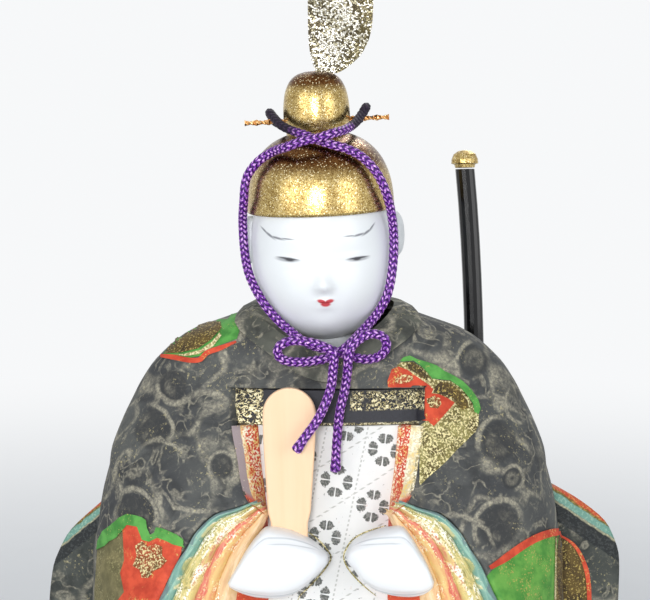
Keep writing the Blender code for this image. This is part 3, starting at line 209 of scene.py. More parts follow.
class Value:
    """An output of a node, with which sums can be written."""

    def __init__(self, shade, socket):
        self.shade, self.socket = shade, socket

    def __add__(self, other):
        return self.shade.maths("ADD", self, other)

    def __sub__(self, other):
        return self.shade.maths("SUBTRACT", self, other)

    def __rsub__(self, other):
        return self.shade.maths("SUBTRACT", other, self)

    def __mul__(self, other):
        return self.shade.maths("MULTIPLY", self, other)

    def __truediv__(self, other):
        return self.shade.maths("DIVIDE", self, other)

    __radd__, __rmul__ = __add__, __mul__

    def size(self):
        return self.shade.maths("ABSOLUTE", self)

    def step(self, low, high):
        """0 below low, 1 above high, smooth between."""
        return self.shade.smooth(self, low, high)

    def within(self, low, high, soft):
        return self.step(low - soft, low + soft) * (1 - self.step(high - soft, high + soft))


class Nodes:
    """Makes nodes in a tree and joins them."""

    def __init__(self, tree):
        self.tree = tree

    def feed(self, socket, value):
        if isinstance(value, Value):
            self.tree.links.new(value.socket, socket)
        elif isinstance(value, tuple) and socket.type == "RGBA":
            socket.default_value = (*value, 1.0)
        else:
            socket.default_value = value

    def node(self, kind, inputs=(), **settings):
        node = self.tree.nodes.new(kind)
        for word, value in settings.items():
            setattr(node, word, value)
        for key, value in dict(inputs).items():
            self.feed(node.inputs[key], value)
        return node

    def out(self, kind, inputs=(), output=0, **settings):
        return Value(self, self.node(kind, inputs, **settings).outputs[output])

    def maths(self, operation, *values):
        return self.out("ShaderNodeMath", dict(enumerate(values)), operation=operation)

    def most(self, *values):
        return reduce(lambda a, b: self.maths("MAXIMUM", a, b), values)

    def length(self, a, b):
        return self.maths("SQRT", a * a + b * b)

    def smooth(self, value, low, high):
        inputs = {"Value": value, "From Min": low, "From Max": high}
        return self.out("ShaderNodeMapRange", inputs, "Result", interpolation_type="SMOOTHSTEP")

    def seen(self, *kinds):
        """1 for rays of these kinds."""
        path = self.node("ShaderNodeLightPath")
        return self.most(*(Value(self, path.outputs[f"Is {kind} Ray"]) for kind in kinds))

    def finish(self, share, first, second, target):
        """Two shaders, mixed, into the tree's output."""
        both = self.node("ShaderNodeMixShader", {0: share, 1: Value(self, first), 2: Value(self, second)})
        self.tree.links.new(both.outputs[0], target)


class Shade(Nodes):
    """A material whose colour, roughness and bump come from nodes in the object's own coordinates."""

    def __init__(self, name, roughness=0.6, metallic=0.0, **fixed):
        self.material = bpy.data.materials.new(name)
        self.material.use_nodes = True
        super().__init__(self.material.node_tree)
        self.surface = self.tree.nodes["Principled BSDF"]
        for word, value in {"Roughness": roughness, "Metallic": metallic, **fixed}.items():
            self.surface.inputs[word.replace("_", " ")].default_value = value
        self.place = self.out("ShaderNodeTexCoord", output="Object")
        apart = self.node("ShaderNodeSeparateXYZ", {0: self.place})
        self.x, self.y, self.z = (Value(self, socket) for socket in apart.outputs)

    def noise(self, size, detail=2.0, roughness=0.5, distortion=0.0, at=None, output="Fac"):
        """Clouds of a size in metres."""
        inputs = {"Vector": at or self.place, "Scale": 1 / size, "Detail": detail}
        return self.out("ShaderNodeTexNoise", inputs | {"Roughness": roughness, "Distortion": distortion}, output)

    def cells(self, size, output="Distance", feature="F1", at=None):
        inputs = {"Vector": at or self.place, "Scale": 1 / size}
        return self.out("ShaderNodeTexVoronoi", inputs, output, feature=feature)

    def flakes(self, size, at=None):
        """Three random numbers of each small cell."""
        apart = self.node("ShaderNodeSeparateColor", {0: self.cells(size, "Color", at=at)})
        return [Value(self, socket) for socket in apart.outputs]

    def warped(self, size, reach, detail):
        """The object's coordinates, pushed about by noise."""
        kind = "ShaderNodeVectorMath"
        push = self.out(kind, {0: self.noise(size, detail, output="Color"), 1: (0.5, 0.5, 0.5)}, operation="SUBTRACT")
        far = self.out(kind, {0: push, "Scale": reach}, operation="SCALE")
        return self.out(kind, {0: self.place, 1: far}, operation="ADD")

    def field(self, word):
        """A number that the piece holds at each of its points."""
        return self.out("ShaderNodeAttribute", output="Fac", attribute_name=word)

    def point(self, x, y, z):
        return self.out("ShaderNodeCombineXYZ", {0: x, 1: y, 2: z})

    def blend(self, factor, a, b):
        return self.out("ShaderNodeMix", {0: factor, 6: a, 7: b}, 2, data_type="RGBA", clamp_factor=True)

    def done(self, colour, height=None, depth=0.0001, roughness=None, metallic=None):
        self.feed(self.surface.inputs["Base Color"], colour)
        if roughness is not None:
            self.feed(self.surface.inputs["Roughness"], roughness)
        if metallic is not None:
            self.feed(self.surface.inputs["Metallic"], metallic)
        if height is not None:
            self.feed(self.surface.inputs["Normal"], self.out("ShaderNodeBump", {"Height": height, "Distance": depth}))
        return self.material


def rgb(red, green, blue):
    """A linear colour from one of 0 to 255."""
    shares = [channel / 255 for channel in (red, green, blue)]
    return tuple(s / 12.92 if s <= 0.04045 else ((s + 0.055) / 1.055) ** 2.4 for s in shares)


SIDES = {1: "left", -1: "right"}

# Sizes of the patterns in metres: gold dust, threads, relief of the robe's paint and of the shell paint
GRAIN, THREAD, ROBE_RELIEF, SHELL_RELIEF = 0.00018, 0.00022, 0.00010, 0.000012
ROBE_ROUGHNESS, SHELL_ROUGHNESS, DUST_ROUGHNESS = 0.74, 0.34, 0.66


def gold(name="gilt", roughness=0.35, light=(222, 198, 134), dark=(132, 104, 52), grain=GRAIN, bump=0.00002,
         painted_dark_reflection=False):
    """Gold leaf dust: small flakes that differ a little in tone, tilt and gloss, a few painted glints, and if asked a
    painted dark reflection, browner where it faces up.
    """
    s = Shade(name, roughness, 1.0)
    shade, gloss, chance = s.flakes(grain)
    tone = shade * 0.50 + s.noise(14 * grain, 3.0, 0.6) * 0.5
    colour = s.blend(tone.step(0.20, 0.85), rgb(*dark), rgb(*light))
    # Painted dark reflection: browner where the surface faces up
    if painted_dark_reflection:
        brown = s.blend(tone.step(0.3, 0.8), rgb(72, 38, 16), rgb(120, 80, 42))
        colour = s.blend(s.field("lift").step(0.26, 0.56) * 0.97, colour, brown)
    # Painted glints: a few flakes near white
    colour = s.blend(chance.step(0.93, 0.95), colour, rgb(255, 240, 196))
    rough = gloss * 0.12 + (roughness - 0.05)
    height = s.cells(grain) * 0.5 + s.noise(grain / 0.7, 2.0) * 0.5
    return s.done(colour, height, bump, rough)


# Arcs of the robe's pattern that the photograph shows: middle and radius in pixels, direction of the arc's
# middle and half its spread in degrees, half width as a share of the radius
ROBE_ARCS = [
    (499, 526, 25, 110, 100, 0.13), (499, 441, 22, 95, 95, 0.13), (474, 360, 18, 95, 80, 0.13),
    (135, 514, 24, 75, 95, 0.12), (151, 428, 22, 60, 85, 0.12), (207, 425, 30, 100, 52, 0.12),
    (173, 385, 17, 250, 70, 0.18), (207, 372, 27, 80, 45, 0.10), (196, 470, 40, 255, 35, 0.06),
    (462, 466, 34, 120, 50, 0.07), (440, 520, 48, 60, 35, 0.06), (522, 398, 20, 200, 60, 0.10),
    (222, 466, 13, 100, 120, 0.16), (160, 478, 34, 95, 50, 0.07), (512, 478, 12, 40, 110, 0.18),
]


def robe_pattern(s, base, pale, arcs=()):
    """Charcoal paint with wisps and arcs of cream brushed over it, and worn gold dust."""
    at = s.warped(0.0090, 0.0050, 2.0)
    large = 1 - (s.noise(0.0105, 1.0, 0.4, at=at) - 0.5).size() * 2
    small = 1 - (s.noise(0.0048, 2.0, 0.5, 0.8) - 0.5).size() * 2
    drift = s.noise(0.0060, 3.0, 0.6, 0.5)
    grain = s.noise(0.00055, 3.0, 0.7)
    lines = large.step(0.88, 0.99) * (drift.step(0.38, 0.60) * 0.8 + 0.2)
    cloud = s.noise(0.0026, 4.0, 0.75, 0.8).step(0.52, 0.72) * drift.step(0.50, 0.66)
    lines = s.most(lines, small.step(0.90, 0.99) * (1 - drift.step(0.42, 0.56)) * 0.7, cloud * 0.7)
    hollow = 1 - drift.step(0.32, 0.52)
    for px, py, radius, turn, spread, wide in arcs:
        spot = sleeve_tree.ray_cast(EYE, pixel_ray(px, py))[0]
        reach = radius * PIXEL
        x, z = ((v - p) / reach for v, p in ((s.x, spot.x), (s.z, spot.z)))
        far = s.length(x, z)
        front = 1 - s.y.step(spot.y + reach * 0.5, spot.y + reach)
        aim = (x * cos(radians(turn)) + z * sin(radians(turn))) / (far + 0.001)
        facing = aim.step(cos(radians(spread)) - 0.25, cos(radians(spread)) + 0.15)
        offset = (far + (drift - 0.5) * 0.35 - 0.97).size()
        arc = (1 - offset.step(wide * 0.3, wide * 1.25)) * facing * front
        if spread > 60:
            disc = (1 - far.step(0.70, 1.0)) * front
            glow = (1 - (far - 0.35).size().step(0.05, 0.35)) * disc * drift.step(0.45, 0.60) * 0.45
            lines = s.most(lines * (1 - disc * 0.92), glow)
            hollow = s.most(hollow, disc)
        lines = s.most(lines, arc)
    tone = s.noise(0.0130, 2.0, 0.6)
    ground = s.blend(tone.step(0.32, 0.66), rgb(*base), rgb(*pale))
    ground = s.blend(hollow * 0.75, ground, rgb(*(c * 0.74 for c in base)))
    streak = s.noise(0.0011, 4.0, 0.75, 1.0)
    ground = s.blend(streak.step(0.52, 0.74) * 0.30, ground, rgb(120, 120, 112))
    cream = s.blend(grain.step(0.35, 0.65), rgb(128, 124, 112), rgb(186, 180, 158))
    soft = lines * (streak.step(0.28, 0.62) * 0.65 + 0.35)
    colour = s.blend(soft * 0.80, ground, cream)
    dust = s.noise(0.00070, 4.0, 0.72).step(0.57, 0.65) * s.noise(0.0058, 2.0).step(0.48, 0.60)
    colour = s.blend(dust * 0.55, colour, rgb(206, 194, 146))
    return colour, s.noise(0.0013, 4.0, 0.65) * 0.8 + soft * 0.3, soft


def robe_finish(name, base, pale, arcs=()):
    s = Shade(name, ROBE_ROUGHNESS)
    colour, height, soft = robe_pattern(s, base, pale, arcs)
    return s.done(colour, height, ROBE_RELIEF, 0.80 - soft * 0.14)


# Stripes of the robes beneath at the wings' shoulders: two points of the first stripe's upper edge in pixels,
# then each stripe's start and end from there, across it, and its colours
WING_STRIPES = {
    1: ((554.5, 484), (605, 519)),
    -1: ((104, 498), (85, 514)),
}
STRIPE_PAINTS = [
    (-0.0030, 0.0009, (202, 76, 44), (226, 170, 96)), (0.0009, 0.0013, (112, 98, 40), (184, 166, 90)),
    (0.0013, 0.0027, (112, 158, 144), (160, 194, 174)), (0.0027, 0.0031, (150, 148, 124), (206, 200, 160)),
    (0.0031, 0.0060, (30, 34, 36), (66, 70, 70)),
]


def wing_finish(side):
    """The robe's paint on a darker ground of painted shade, with slanting stripes of the robes beneath across the
    wing's shoulder.
    """
    s = Shade(SIDES[side] + "_wing_paint", ROBE_ROUGHNESS)
    # A darker ground than the robe's: painted shade on the wing
    colour, height, soft = robe_pattern(s, (44, 49, 47), (70, 74, 70))
    upper, lower = (on_plane(px, py, 0.004) for px, py in WING_STRIPES[side])
    fall = (lower - upper).normalized()
    away = Vector((-side * abs(fall.z), 0, -abs(fall.x)))
    down = (s.x - upper.x) * away.x + (s.z - upper.z) * away.z
    grain = s.noise(0.0005, 3.0, 0.7)
    worn = down + (s.noise(0.0018, 2.0) - 0.5) * 0.0007
    thin = 1.0 if side > 0 else 0.75
    for low, high, tone, speck in reversed(STRIPE_PAINTS):
        paint = s.blend(grain.step(0.50, 0.60) * 0.7, rgb(*tone), rgb(*speck))
        colour = s.blend(worn.within(low * thin, high * thin, 0.00012) * 0.95, colour, paint)
    return s.done(colour, height, ROBE_RELIEF, 0.80 - soft * 0.14)


def speckled(name, base, speck, dusty=(0.54, 0.60), second=None, cover=(0.36, 0.52)):
    """Matte paint with drifts of fine gold dust."""
    s = Shade(name, DUST_ROUGHNESS)
    dust = s.noise(0.00042, 3.0, 0.65)
    drift = s.noise(0.0048, 2.0, 0.5, 0.4)
    tone = s.noise(0.0030, 3.0, 0.6)
    colour = s.blend(tone.step(0.32, 0.66), tuple(c * 0.80 for c in rgb(*base)), rgb(*(second or base)))
    gold_dust = dust.step(*dusty) * drift.step(*cover)
    colour = s.blend(gold_dust, colour, rgb(*speck))
    height = s.noise(0.0011, 4.0, 0.6) + gold_dust * 0.4
    return s.done(colour, height, 0.00008, (1 - gold_dust) * 0.3 + (DUST_ROUGHNESS - 0.25))


# Where the cord's shade behind the knob begins and is full: above the core's top, in front of the torso axis
KNOB_SHADE_Z, KNOB_SHADE_Y = (0.0470, 0.0480), (0.0118, 0.0090)


def braid_finish():
    """Silk: painted shade between the stitches, painted highlights along their crowns, painted shade behind the
    crown's knob.
    """
    s = Shade("purple_braid", 0.42, Sheen_Weight=0.08, Sheen_Roughness=0.35, Specular_IOR_Level=0.35)
    crown, silk = s.field("crown"), s.noise(0.00014, 2.0, 0.6)
    # Painted shade: dark in the gaps between the stitches
    colour = s.blend(crown.step(0.25, 0.75), rgb(24, 2, 50), rgb(102, 10, 152))
    # Painted highlights on the stitches' crowns
    glint = s.noise(0.00042, 2.0, 0.6).step(0.44, 0.56)
    colour = s.blend(crown.step(0.60, 0.90) * (glint * 0.85 + 0.05), colour, rgb(240, 190, 248))
    # Painted shade behind the crown's knob
    behind = s.z.step(*(CORE_TOP + z for z in KNOB_SHADE_Z)) * s.y.step(*(AXIS_Y - y for y in KNOB_SHADE_Y))
    colour = s.blend(behind * 0.96, colour, rgb(8, 2, 14))
    return s.done(colour, silk, 0.00003, behind * 0.3 + 0.42)


def shell_paint(name, dull, bright):
    """Satin white paint of ground shell: its shade, its cloudy colour and its grain."""
    s = Shade(name, SHELL_ROUGHNESS, Coat_Weight=0.15, Coat_Roughness=0.25)
    return s, s.blend(s.noise(0.012, 2.0), rgb(*dull), rgb(*bright)), s.noise(0.0008, 3.0)


def wood_finish(name, light, dark, rings):
    s = Shade(name, 0.42)
    long = s.point(s.x, s.y, s.z * 0.06)
    grain = s.noise(rings, 4.0, 0.6, 0.6, at=long)
    fine = s.noise(0.00035, 2.0, at=long)
    colour = s.blend(grain.step(0.3, 0.7), rgb(*dark), rgb(*light))
    return s.done(colour, grain * 0.5 + fine * 0.5, 0.00003)


def lacquer_finish():
    s = Shade("black_lacquer", 0.10, Coat_Weight=0.25, Coat_Roughness=0.03, Specular_IOR_Level=0.30)
    depth = s.noise(0.004, 2.0)
    return s.done(s.blend(depth, rgb(3, 3, 5), rgb(9, 9, 12)), s.noise(0.006, 1.0), 0.00002)


# Chin cord. Its route is in tenths of a millimetre from the core's top on the torso axis

CORD_RADIUS, CORD_STEP, STITCH = 0.00095, 0.00018, 0.00125
CORD_UNIT = 0.0001
CORD_ROUTE = [
    (-63, -262, -114), (-44, -260, -86), (-21, -254, -54), (-4, -250, -19), (6, -236, 11), (9, -219, 36),
    (11, -209, 54), (8, -207, 71), (-10, -205, 82), (-39, -203, 90), (-70, -200, 92), (-91, -196, 83),
    (-98, -191, 69), (-89, -186, 54), (-62, -184, 48), (-23, -183, 51), (8, -182, 59), (33, -180, 75), (52, -154, 89),
    (72, -126, 106), (96, -103, 131), (116, -104, 169), (126, -101, 218), (129, -91, 276), (123, -108, 333),
    (111, -128, 377), (93, -134, 413), (66, -134, 442), (37, -137, 458), (9, -135, 466), (-18, -128, 474),
    (-45, -113, 483), (-72, -90, 491), (-92, -66, 499), (-106, -36, 511), (-115, -12, 520), (-113, 12, 513),
    (-104, 40, 498), (-76, 66, 485), (-18, 80, 478), (38, 64, 487), (62, 38, 504), (73, 12, 525), (75, -12, 531),
    (65, -36, 517), (53, -72, 504), (33, -116, 494), (8, -148, 489), (-18, -155, 481), (-48, -154, 475),
    (-77, -148, 464), (-109, -111, 450), (-137, -101, 430), (-159, -90, 398), (-165, -88, 354), (-168, -47, 291),
    (-158, -72, 214), (-130, -106, 159), (-102, -112, 124), (-74, -124, 100), (-51, -144, 85), (-25, -153, 74),
    (11, -156, 65), (43, -159, 56), (72, -167, 51), (99, -175, 58), (113, -181, 77), (106, -189, 98), (81, -198, 105),
    (58, -205, 94), (43, -208, 77), (39, -207, 57), (37, -204, 32), (32, -203, -4), (23, -203, -43), (17, -203, -102),
    (14, -203, -165),
]
CORE_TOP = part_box("body_core")[1][2]


def make_braid():
    """A round braid of eight strands: slanted stitches in eight columns, leaning to and fro."""
    base = Vector((0, AXIS_Y, CORE_TOP))
    line = curve_through([Vector(p) * CORD_UNIT + base for p in CORD_ROUTE], CORD_STEP)
    sides, columns = 32, 8
    vertices, crowns, run = [], [], 0.0
    up = Vector((0, -1, 0))
    for i, here in enumerate(line):
        ahead = (line[min(i + 1, len(line) - 1)] - line[max(i - 1, 0)]).normalized()
        up = (up - ahead * up.dot(ahead)).normalized()
        across = ahead.cross(up)
        run += (here - line[i - 1]).length if i else 0.0
        end = min((line[-1] - here).length, (here - line[0]).length) if min(i, len(line) - i) < 30 else 1.0
        flare = 1 + 0.22 * exp(-((end / 0.0018) ** 2)) - 0.5 * exp(-((end / 0.00022) ** 2))
        for k in range(sides):
            turn = k / sides * columns
            column, within = int(turn), turn % 1 - 0.5
            lean = 1 if column % 2 else -1
            phase = run / STITCH + lean * within * 0.55 + 0.5 * (column // 2 % 2)
            bulge = abs(cos(pi * phase)) ** 0.7 * (1 - 1.5 * within * within)
            radius = CORD_RADIUS * (0.79 + 0.20 * bulge) * flare
            crowns.append(bulge)
            angle = 2 * pi * k / sides
            vertices.append(here + across * (radius * cos(angle)) + up * (radius * sin(angle)))
    faces = grid_faces(len(line), sides, closed=True)
    faces.append(tuple(reversed(range(sides))))
    faces.append(tuple(range(len(vertices) - sides, len(vertices))))
    cord = new_piece("braided_chin_cord", vertices, faces, "head", braid_finish(), ("chin_cord",),
                     fields={"crown": crowns})
    length = sum((b - a).length for a, b in zip(line, line[1:]))
    print(f"chin cord length {length:.4f} m")


make_braid()


# Dress: the outer robe's form is the solids' own, on finer grids

ROBE_HEIGHT, ROBE_HALF_WIDTH, ROBE_FRONT, ROBE_BACK = 0.1090, 0.0525, 0.0420, 0.0400
ROBE_SQUARENESS = 2.3
BAND_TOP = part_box("chest_yoke")[0][2]
BAND_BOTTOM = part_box("chest_band")[0][2]
WING_ANGLE, BACK_ANGLE = radians(95), radians(150)
WING_REACH, WING_FALL_SHARE, WING_LEAN = 0.0110, 0.45, 0.0028
TRAIN_REACH = 0.0080
FOLD_DEPTH, FOLD_START_ANGLE, FOLD_TURNS = 0.0009, radians(32), 2.4
SEAT_FRONT, SEAT_SIDE = CORE_TOP + 0.0003, 0.1076
HEM = 0.0003  # above the base
ROLL = 0.0024  # how far an edge of the robe turns in
PAINT_LIFT = 0.00013
WALL_UNDER = 0.0012  # start of the wing's wall below the robe

# Height, then half width, front and back, as shares of the robe's
ROBE_SHARES = [
    (0.000, 1.000, 1.000, 1.000), (0.092, 0.990, 0.988, 0.975), (0.229, 0.962, 0.948, 0.925),
    (0.367, 0.930, 0.881, 0.862), (0.459, 0.907, 0.821, 0.812), (0.519, 0.895, 0.774, 0.775),
    (0.593, 0.874, 0.714, 0.725), (0.633, 0.867, 0.674, 0.700), (0.688, 0.851, 0.607, 0.662),
    (0.752, 0.819, 0.524, 0.612), (0.823, 0.756, 0.417, 0.562), (0.867, 0.705, 0.357, 0.525),
    (0.904, 0.648, 0.319, 0.487), (0.950, 0.533, 0.281, 0.425), (0.972, 0.410, 0.250, 0.375),
    (0.989, 0.314, 0.226, 0.312), (1.000, 0.257, 0.210, 0.262),
]
# Row by row, height and distance from the middle of the sleeve's edge, then of the innermost layer's
EDGE_SHARES = [(row, *shares) for row, shares in enumerate([
    (0.000, 0.810, 0.000, 0.352), (0.092, 0.800, 0.092, 0.358), (0.183, 0.785, 0.183, 0.369),
    (0.275, 0.762, 0.275, 0.381), (0.367, 0.724, 0.367, 0.398), (0.431, 0.682, 0.428, 0.402),
    (0.483, 0.648, 0.474, 0.400), (0.523, 0.621, 0.510, 0.391), (0.560, 0.590, 0.540, 0.379),
    (0.596, 0.549, 0.566, 0.361), (0.628, 0.499, 0.590, 0.336), (0.656, 0.429, 0.612, 0.310),
    (0.668, 0.349, 0.633, 0.284), (0.677, 0.295, 0.650, 0.264),
])]
EDGE_END = len(EDGE_SHARES) - 1
# The sleeve's edge above its opening, and the panel's edge: height and distance in metres
LAPEL = [(0.0738, 0.0155), (0.0760, 0.0168), (0.0800, 0.0180), (0.0850, 0.0188), (0.0945, 0.0195)]
PANEL_EDGE = [(0.0526, 0.0117), (0.0614, 0.0117), (0.0690, 0.0119), (0.0728, 0.0122), (0.0798, 0.0131),
              (0.0880, 0.0138)]
WING_SHARES = [(0.000, 0.78), (0.420, 0.90), (0.680, 0.98), (0.800, 1.00), (0.850, 0.93), (0.905, 0.78),
               (0.955, 0.48), (1.000, 0.12)]
# Start angle, height there, rise over 70 degrees, half width and depth of each crease
CREASES = [
    (radians(26), 0.0790, 0.012, 0.0022, -0.0005),
    (radians(24), 0.0735, 0.008, 0.0020, 0.0005),
    (radians(28), 0.0590, 0.020, 0.0024, -0.0006),
    (radians(30), 0.0480, 0.016, 0.0030, 0.0006),
    (radians(34), 0.0330, 0.014, 0.0030, -0.0005),
]


def oval_radius(half_width, front, back, squareness, angle):
    depth = front if cos(angle) >= 0 else back
    across, along = abs(sin(angle)) / half_width, abs(cos(angle)) / depth
    return (across**squareness + along**squareness) ** (-1 / squareness)


@lru_cache(maxsize=None)
def robe_sizes(height):
    width, front, back = read_table(ROBE_SHARES, height / ROBE_HEIGHT)
    return ROBE_HALF_WIDTH * width, ROBE_FRONT * front, ROBE_BACK * back


def robe_radius(angle, height):
    side, up = abs((angle + pi) % (2 * pi) - pi), height / ROBE_HEIGHT
    radius = oval_radius(*robe_sizes(height), ROBE_SQUARENESS, angle)
    across = (side - FOLD_START_ANGLE) / (WING_ANGLE - FOLD_START_ANGLE)
    if 0 < across < 1 and 0 < up < 1:
        radius += FOLD_DEPTH * sin(pi * across) * sin(pi * up) * sin(2 * pi * (FOLD_TURNS * up + across))
    for start, low, lean, width, deep in CREASES:
        share = (side - start) / radians(70)
        if 0 < share < 1:
            radius += deep * sin(pi * share) ** 0.8 * exp(-(((height - low - lean * share) / width) ** 2))
    return radius


def front_angle(x, height):
    """Angle from the front at which the robe passes the distance x from its middle."""
    wide, front, _ = robe_sizes(height)
    share = min(abs(x) / wide, 0.999)
    deep = front * (1 - share**ROBE_SQUARENESS) ** (1 / ROBE_SQUARENESS)
    return copysign(atan2(abs(x), deep), x)


def around(angle, radius, height):
    return Vector((radius * sin(angle), AXIS_Y - radius * cos(angle), height))


def on_robe_face(x, height, sink=0.0):
    angle = front_angle(x, height)
    return around(angle, robe_radius(angle, height) - sink, height)


def seat(angle):
    """Height at which the collar covers the robe."""
    return SEAT_SIDE - (SEAT_SIDE - SEAT_FRONT) * max(0.0, cos(angle)) ** 2


def train(angle, height):
    side = abs((angle + pi) % (2 * pi) - pi)
    spread = max(0.0, 1 - height / 0.0695)
    return TRAIN_REACH * spread**0.8 * ease(side, BACK_ANGLE - radians(2), BACK_ANGLE + radians(1))


def edge_x(height):
    """Distance from the middle of the sleeve's front edge at a height."""
    if height >= LAPEL[0][0]:
        return read_table(LAPEL, height)[0]
    return read_table([(hs, xs) for _, hs, xs, _, _ in EDGE_SHARES], height / ROBE_HEIGHT)[0] * ROBE_HALF_WIDTH


def robe_rows():
    """Heights up to the band's top, close together where the sleeve's edge runs nearly level."""
    rows = [read_table(EDGE_SHARES, EDGE_END * i / 78)[0] * ROBE_HEIGHT for i in range(79)]
    return [max(HEM, h) for h in rows] + [mix(rows[-1], BAND_TOP, i / 18) for i in range(1, 19)]


def make_robe_skin(finish):
    columns, front_columns = 190, 44
    rolled = ((ROLL, 0.0004), (0.0010, 0.0), (0.00038, 0.00002), (0.00010, 0.00014), (0.0, 0.00036))
    lower = []
    for height in robe_rows():
        first = front_angle(edge_x(height), height)
        row, tail = [], []
        for deep, back in rolled:
            radius = robe_radius(first, height) - deep
            row.append(around(first + back / radius, radius, height))
            tail.append(around(-first - back / radius, radius, height))
        for c in range(1, columns - 1):
            angle = mix(first, 2 * pi - first, c / (columns - 1))
            row.append(around(angle, robe_radius(angle, height) + train(angle, height), height))
        lower.append(row + tail[::-1])
    hem = [around(atan2(p.x, AXIS_Y - p.y), Vector((p.x, p.y - AXIS_Y)).length - ROLL, p.z) for p in lower[0]]

    first = front_angle(edge_x(BAND_TOP), BAND_TOP)
    angles = [first + 0.00036 / robe_radius(first, BAND_TOP)]
    angles += [mix(first, 2 * pi - first, c / (columns - 1)) for c in range(1, columns - 1)]
    angles += [-angles[0] + 2 * pi]
    angles += [mix(angles[-1], 2 * pi + angles[0], c / front_columns) for c in range(1, front_columns)]
    upper = [[around(a, robe_radius(a, BAND_TOP) - ROLL, BAND_TOP + 0.0004) for a in angles]]
    for share in (0.0, 0.04, 0.10, 0.18, 0.27, 0.36, 0.46, 0.56, 0.65, 0.74, 0.82, 0.90, 0.96, 1.0):
        heights = [mix(BAND_TOP, seat(a) - 0.0002, share) for a in angles]
        upper.append([around(a, robe_radius(a, h), h) for a, h in zip(angles, heights)])
    upper.append([around(a, robe_radius(a, seat(a)) - ROLL, seat(a) - 0.0002) for a in angles])

    rows = [hem] + lower
    vertices = [p for row in rows + upper for p in row]
    faces = grid_faces(len(rows), len(lower[0]))
    faces += grid_faces(len(upper), len(angles), closed=True, start=len(rows) * len(lower[0]))
    skin = new_piece("painted_robe", vertices, faces, "doll", finish,
                     ("left_sleeve", "right_sleeve", "chest_yoke", "back_robe"))
    shape = bmesh.new()
    shape.from_mesh(skin.data)
    bmesh.ops.remove_doubles(shape, verts=shape.verts, dist=0.00002)
    shape.to_mesh(skin.data)
    return skin


def make_wing(side):
    """Rear wing: its front wall first, from the robe out to the ridge, then round to the back."""
    name = SIDES[side] + "_wing"
    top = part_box(name)[1][2]
    walls, columns, levels = 16, 46, 44
    rows = []
    for i in range(levels + 1):
        height = mix(HEM, top, 1 - (1 - i / levels) ** 1.25)
        share = height / top
        reach = read_table(WING_SHARES, share)[0] * (WING_REACH + side * WING_LEAN * share**2)
        row = []
        ridge = robe_radius(WING_ANGLE, height) + reach
        for c in range(walls):
            out = mix(-WALL_UNDER, reach, (c / walls) ** 0.8)
            bend = 0.0016 * (1 - (max(out, 0) / reach) ** 2)
            row.append((WING_ANGLE - bend / ridge, ridge - reach + out - 0.0002 * (c > walls - 2)))
        for c in range(columns):
            along = c / (columns - 1)
            angle = mix(WING_ANGLE + 0.0003 / ridge, BACK_ANGLE - 0.0006 / ridge, along)
            row.append((angle, robe_radius(angle, height) + reach * (1 - WING_FALL_SHARE * along**2)))
        angle, radius = row[-1]
        row += [(angle + 0.0003 / ridge, radius - 0.0006), (angle + 0.0004 / ridge, radius - 0.006)]
        rows.append([around(side * a, r, height) for a, r in row])
    last = []
    for point in rows[-1]:
        angle = atan2(point.x, AXIS_Y - point.y)
        radius = Vector((point.x, point.y - AXIS_Y)).length
        last.append(around(angle, min(radius, robe_radius(angle, top)) - 0.0008, top + 0.0006))
    rows.append(last)
    return sheet(name + "_painted", [row[::side] for row in rows], "doll", wing_finish(side), (name,),
                 crease=70)


LAYERS = {"edge": (0.00, 0.16), "gold": (0.16, 0.46), "rose": (0.46, 0.72), "tan": (0.72, 1.00)}
LAYER_STEP, LAYER_CROWN, LAYER_TUCK, LAYER_END = 0.0009, 0.0006, 0.0016, 0.0030


def make_layer(side, layer, order, finish):
    """One padded layer of the sleeve's opening, between the sleeve's edge and the hand."""
    node = SIDES[side] + "_cuff_" + layer
    first, last = LAYERS[layer]
    columns, count = 18, 120
    rows, run, before = [], 0.0, None
    for i in range(count + 2):
        hs, xs, hc, xc = read_table(EDGE_SHARES, EDGE_END * min(i, count) / count)
        row = []
        for c in range(columns + 1):
            across = c / columns
            share = mix(first, last, mix(-0.07 if first else 0.0, 1.04 if last < 1 else 1.0, across))
            height = max(HEM, mix(hs, hc, share) * ROBE_HEIGHT)
            bulge = max(0.0, sin(pi * across)) ** 0.55
            sink = LAYER_STEP * (order + 1) - LAYER_CROWN * bulge + LAYER_TUCK * (1 - bulge) ** 3
            x = side * mix(xs, xc, share) * ROBE_HALF_WIDTH
            row.append((on_robe_face(x, height, sink + (LAYER_END if i > count else 0.0)), share))
        middle = row[columns // 2][0]
        run += (middle - before).length if before else 0.0
        before = middle
        rows.append([(*cell, run) for cell in row[::-side]])
    sheet(node + "_padded", rows, "doll", finish, (node,),
          words=("across", "run"))


sleeve_tree = tree_of(*(NODES[node] for node in ("left_sleeve", "right_sleeve", "chest_yoke")))
panel_tree = tree_of(*(NODES[node] for node in ("front_panel", "chest_band", "body_core")))
robe_skin = make_robe_skin(robe_finish("charcoal_robe", (58, 60, 62), (84, 86, 84), ROBE_ARCS))
repaint("collar", robe_finish("collar_cloth", (60, 62, 58), (92, 94, 84)))
make_wing(-1)
left_wing = make_wing(1)


# Painted fields, from their outlines in the photograph


def resampled(points, step, closed=True):
    line = []
    pairs = zip(points, points[1:] + points[:1]) if closed else zip(points, points[1:])
    for (x0, y0), (x1, y1) in pairs:
        far = ((x1 - x0) ** 2 + (y1 - y0) ** 2) ** 0.5
        count = max(1, round(far / step))
        line += [(mix(x0, x1, i / count), mix(y0, y1, i / count)) for i in range(count)]
    return line if closed else line + [points[-1]]


def inside(point, outline):
    x, y = point
    odd = False
    for (x0, y0), (x1, y1) in zip(outline, outline[1:] + outline[:1]):
        if (y0 > y) != (y1 > y) and x < (x1 - x0) * (y - y0) / (y1 - y0) + x0:
            odd = not odd
    return odd


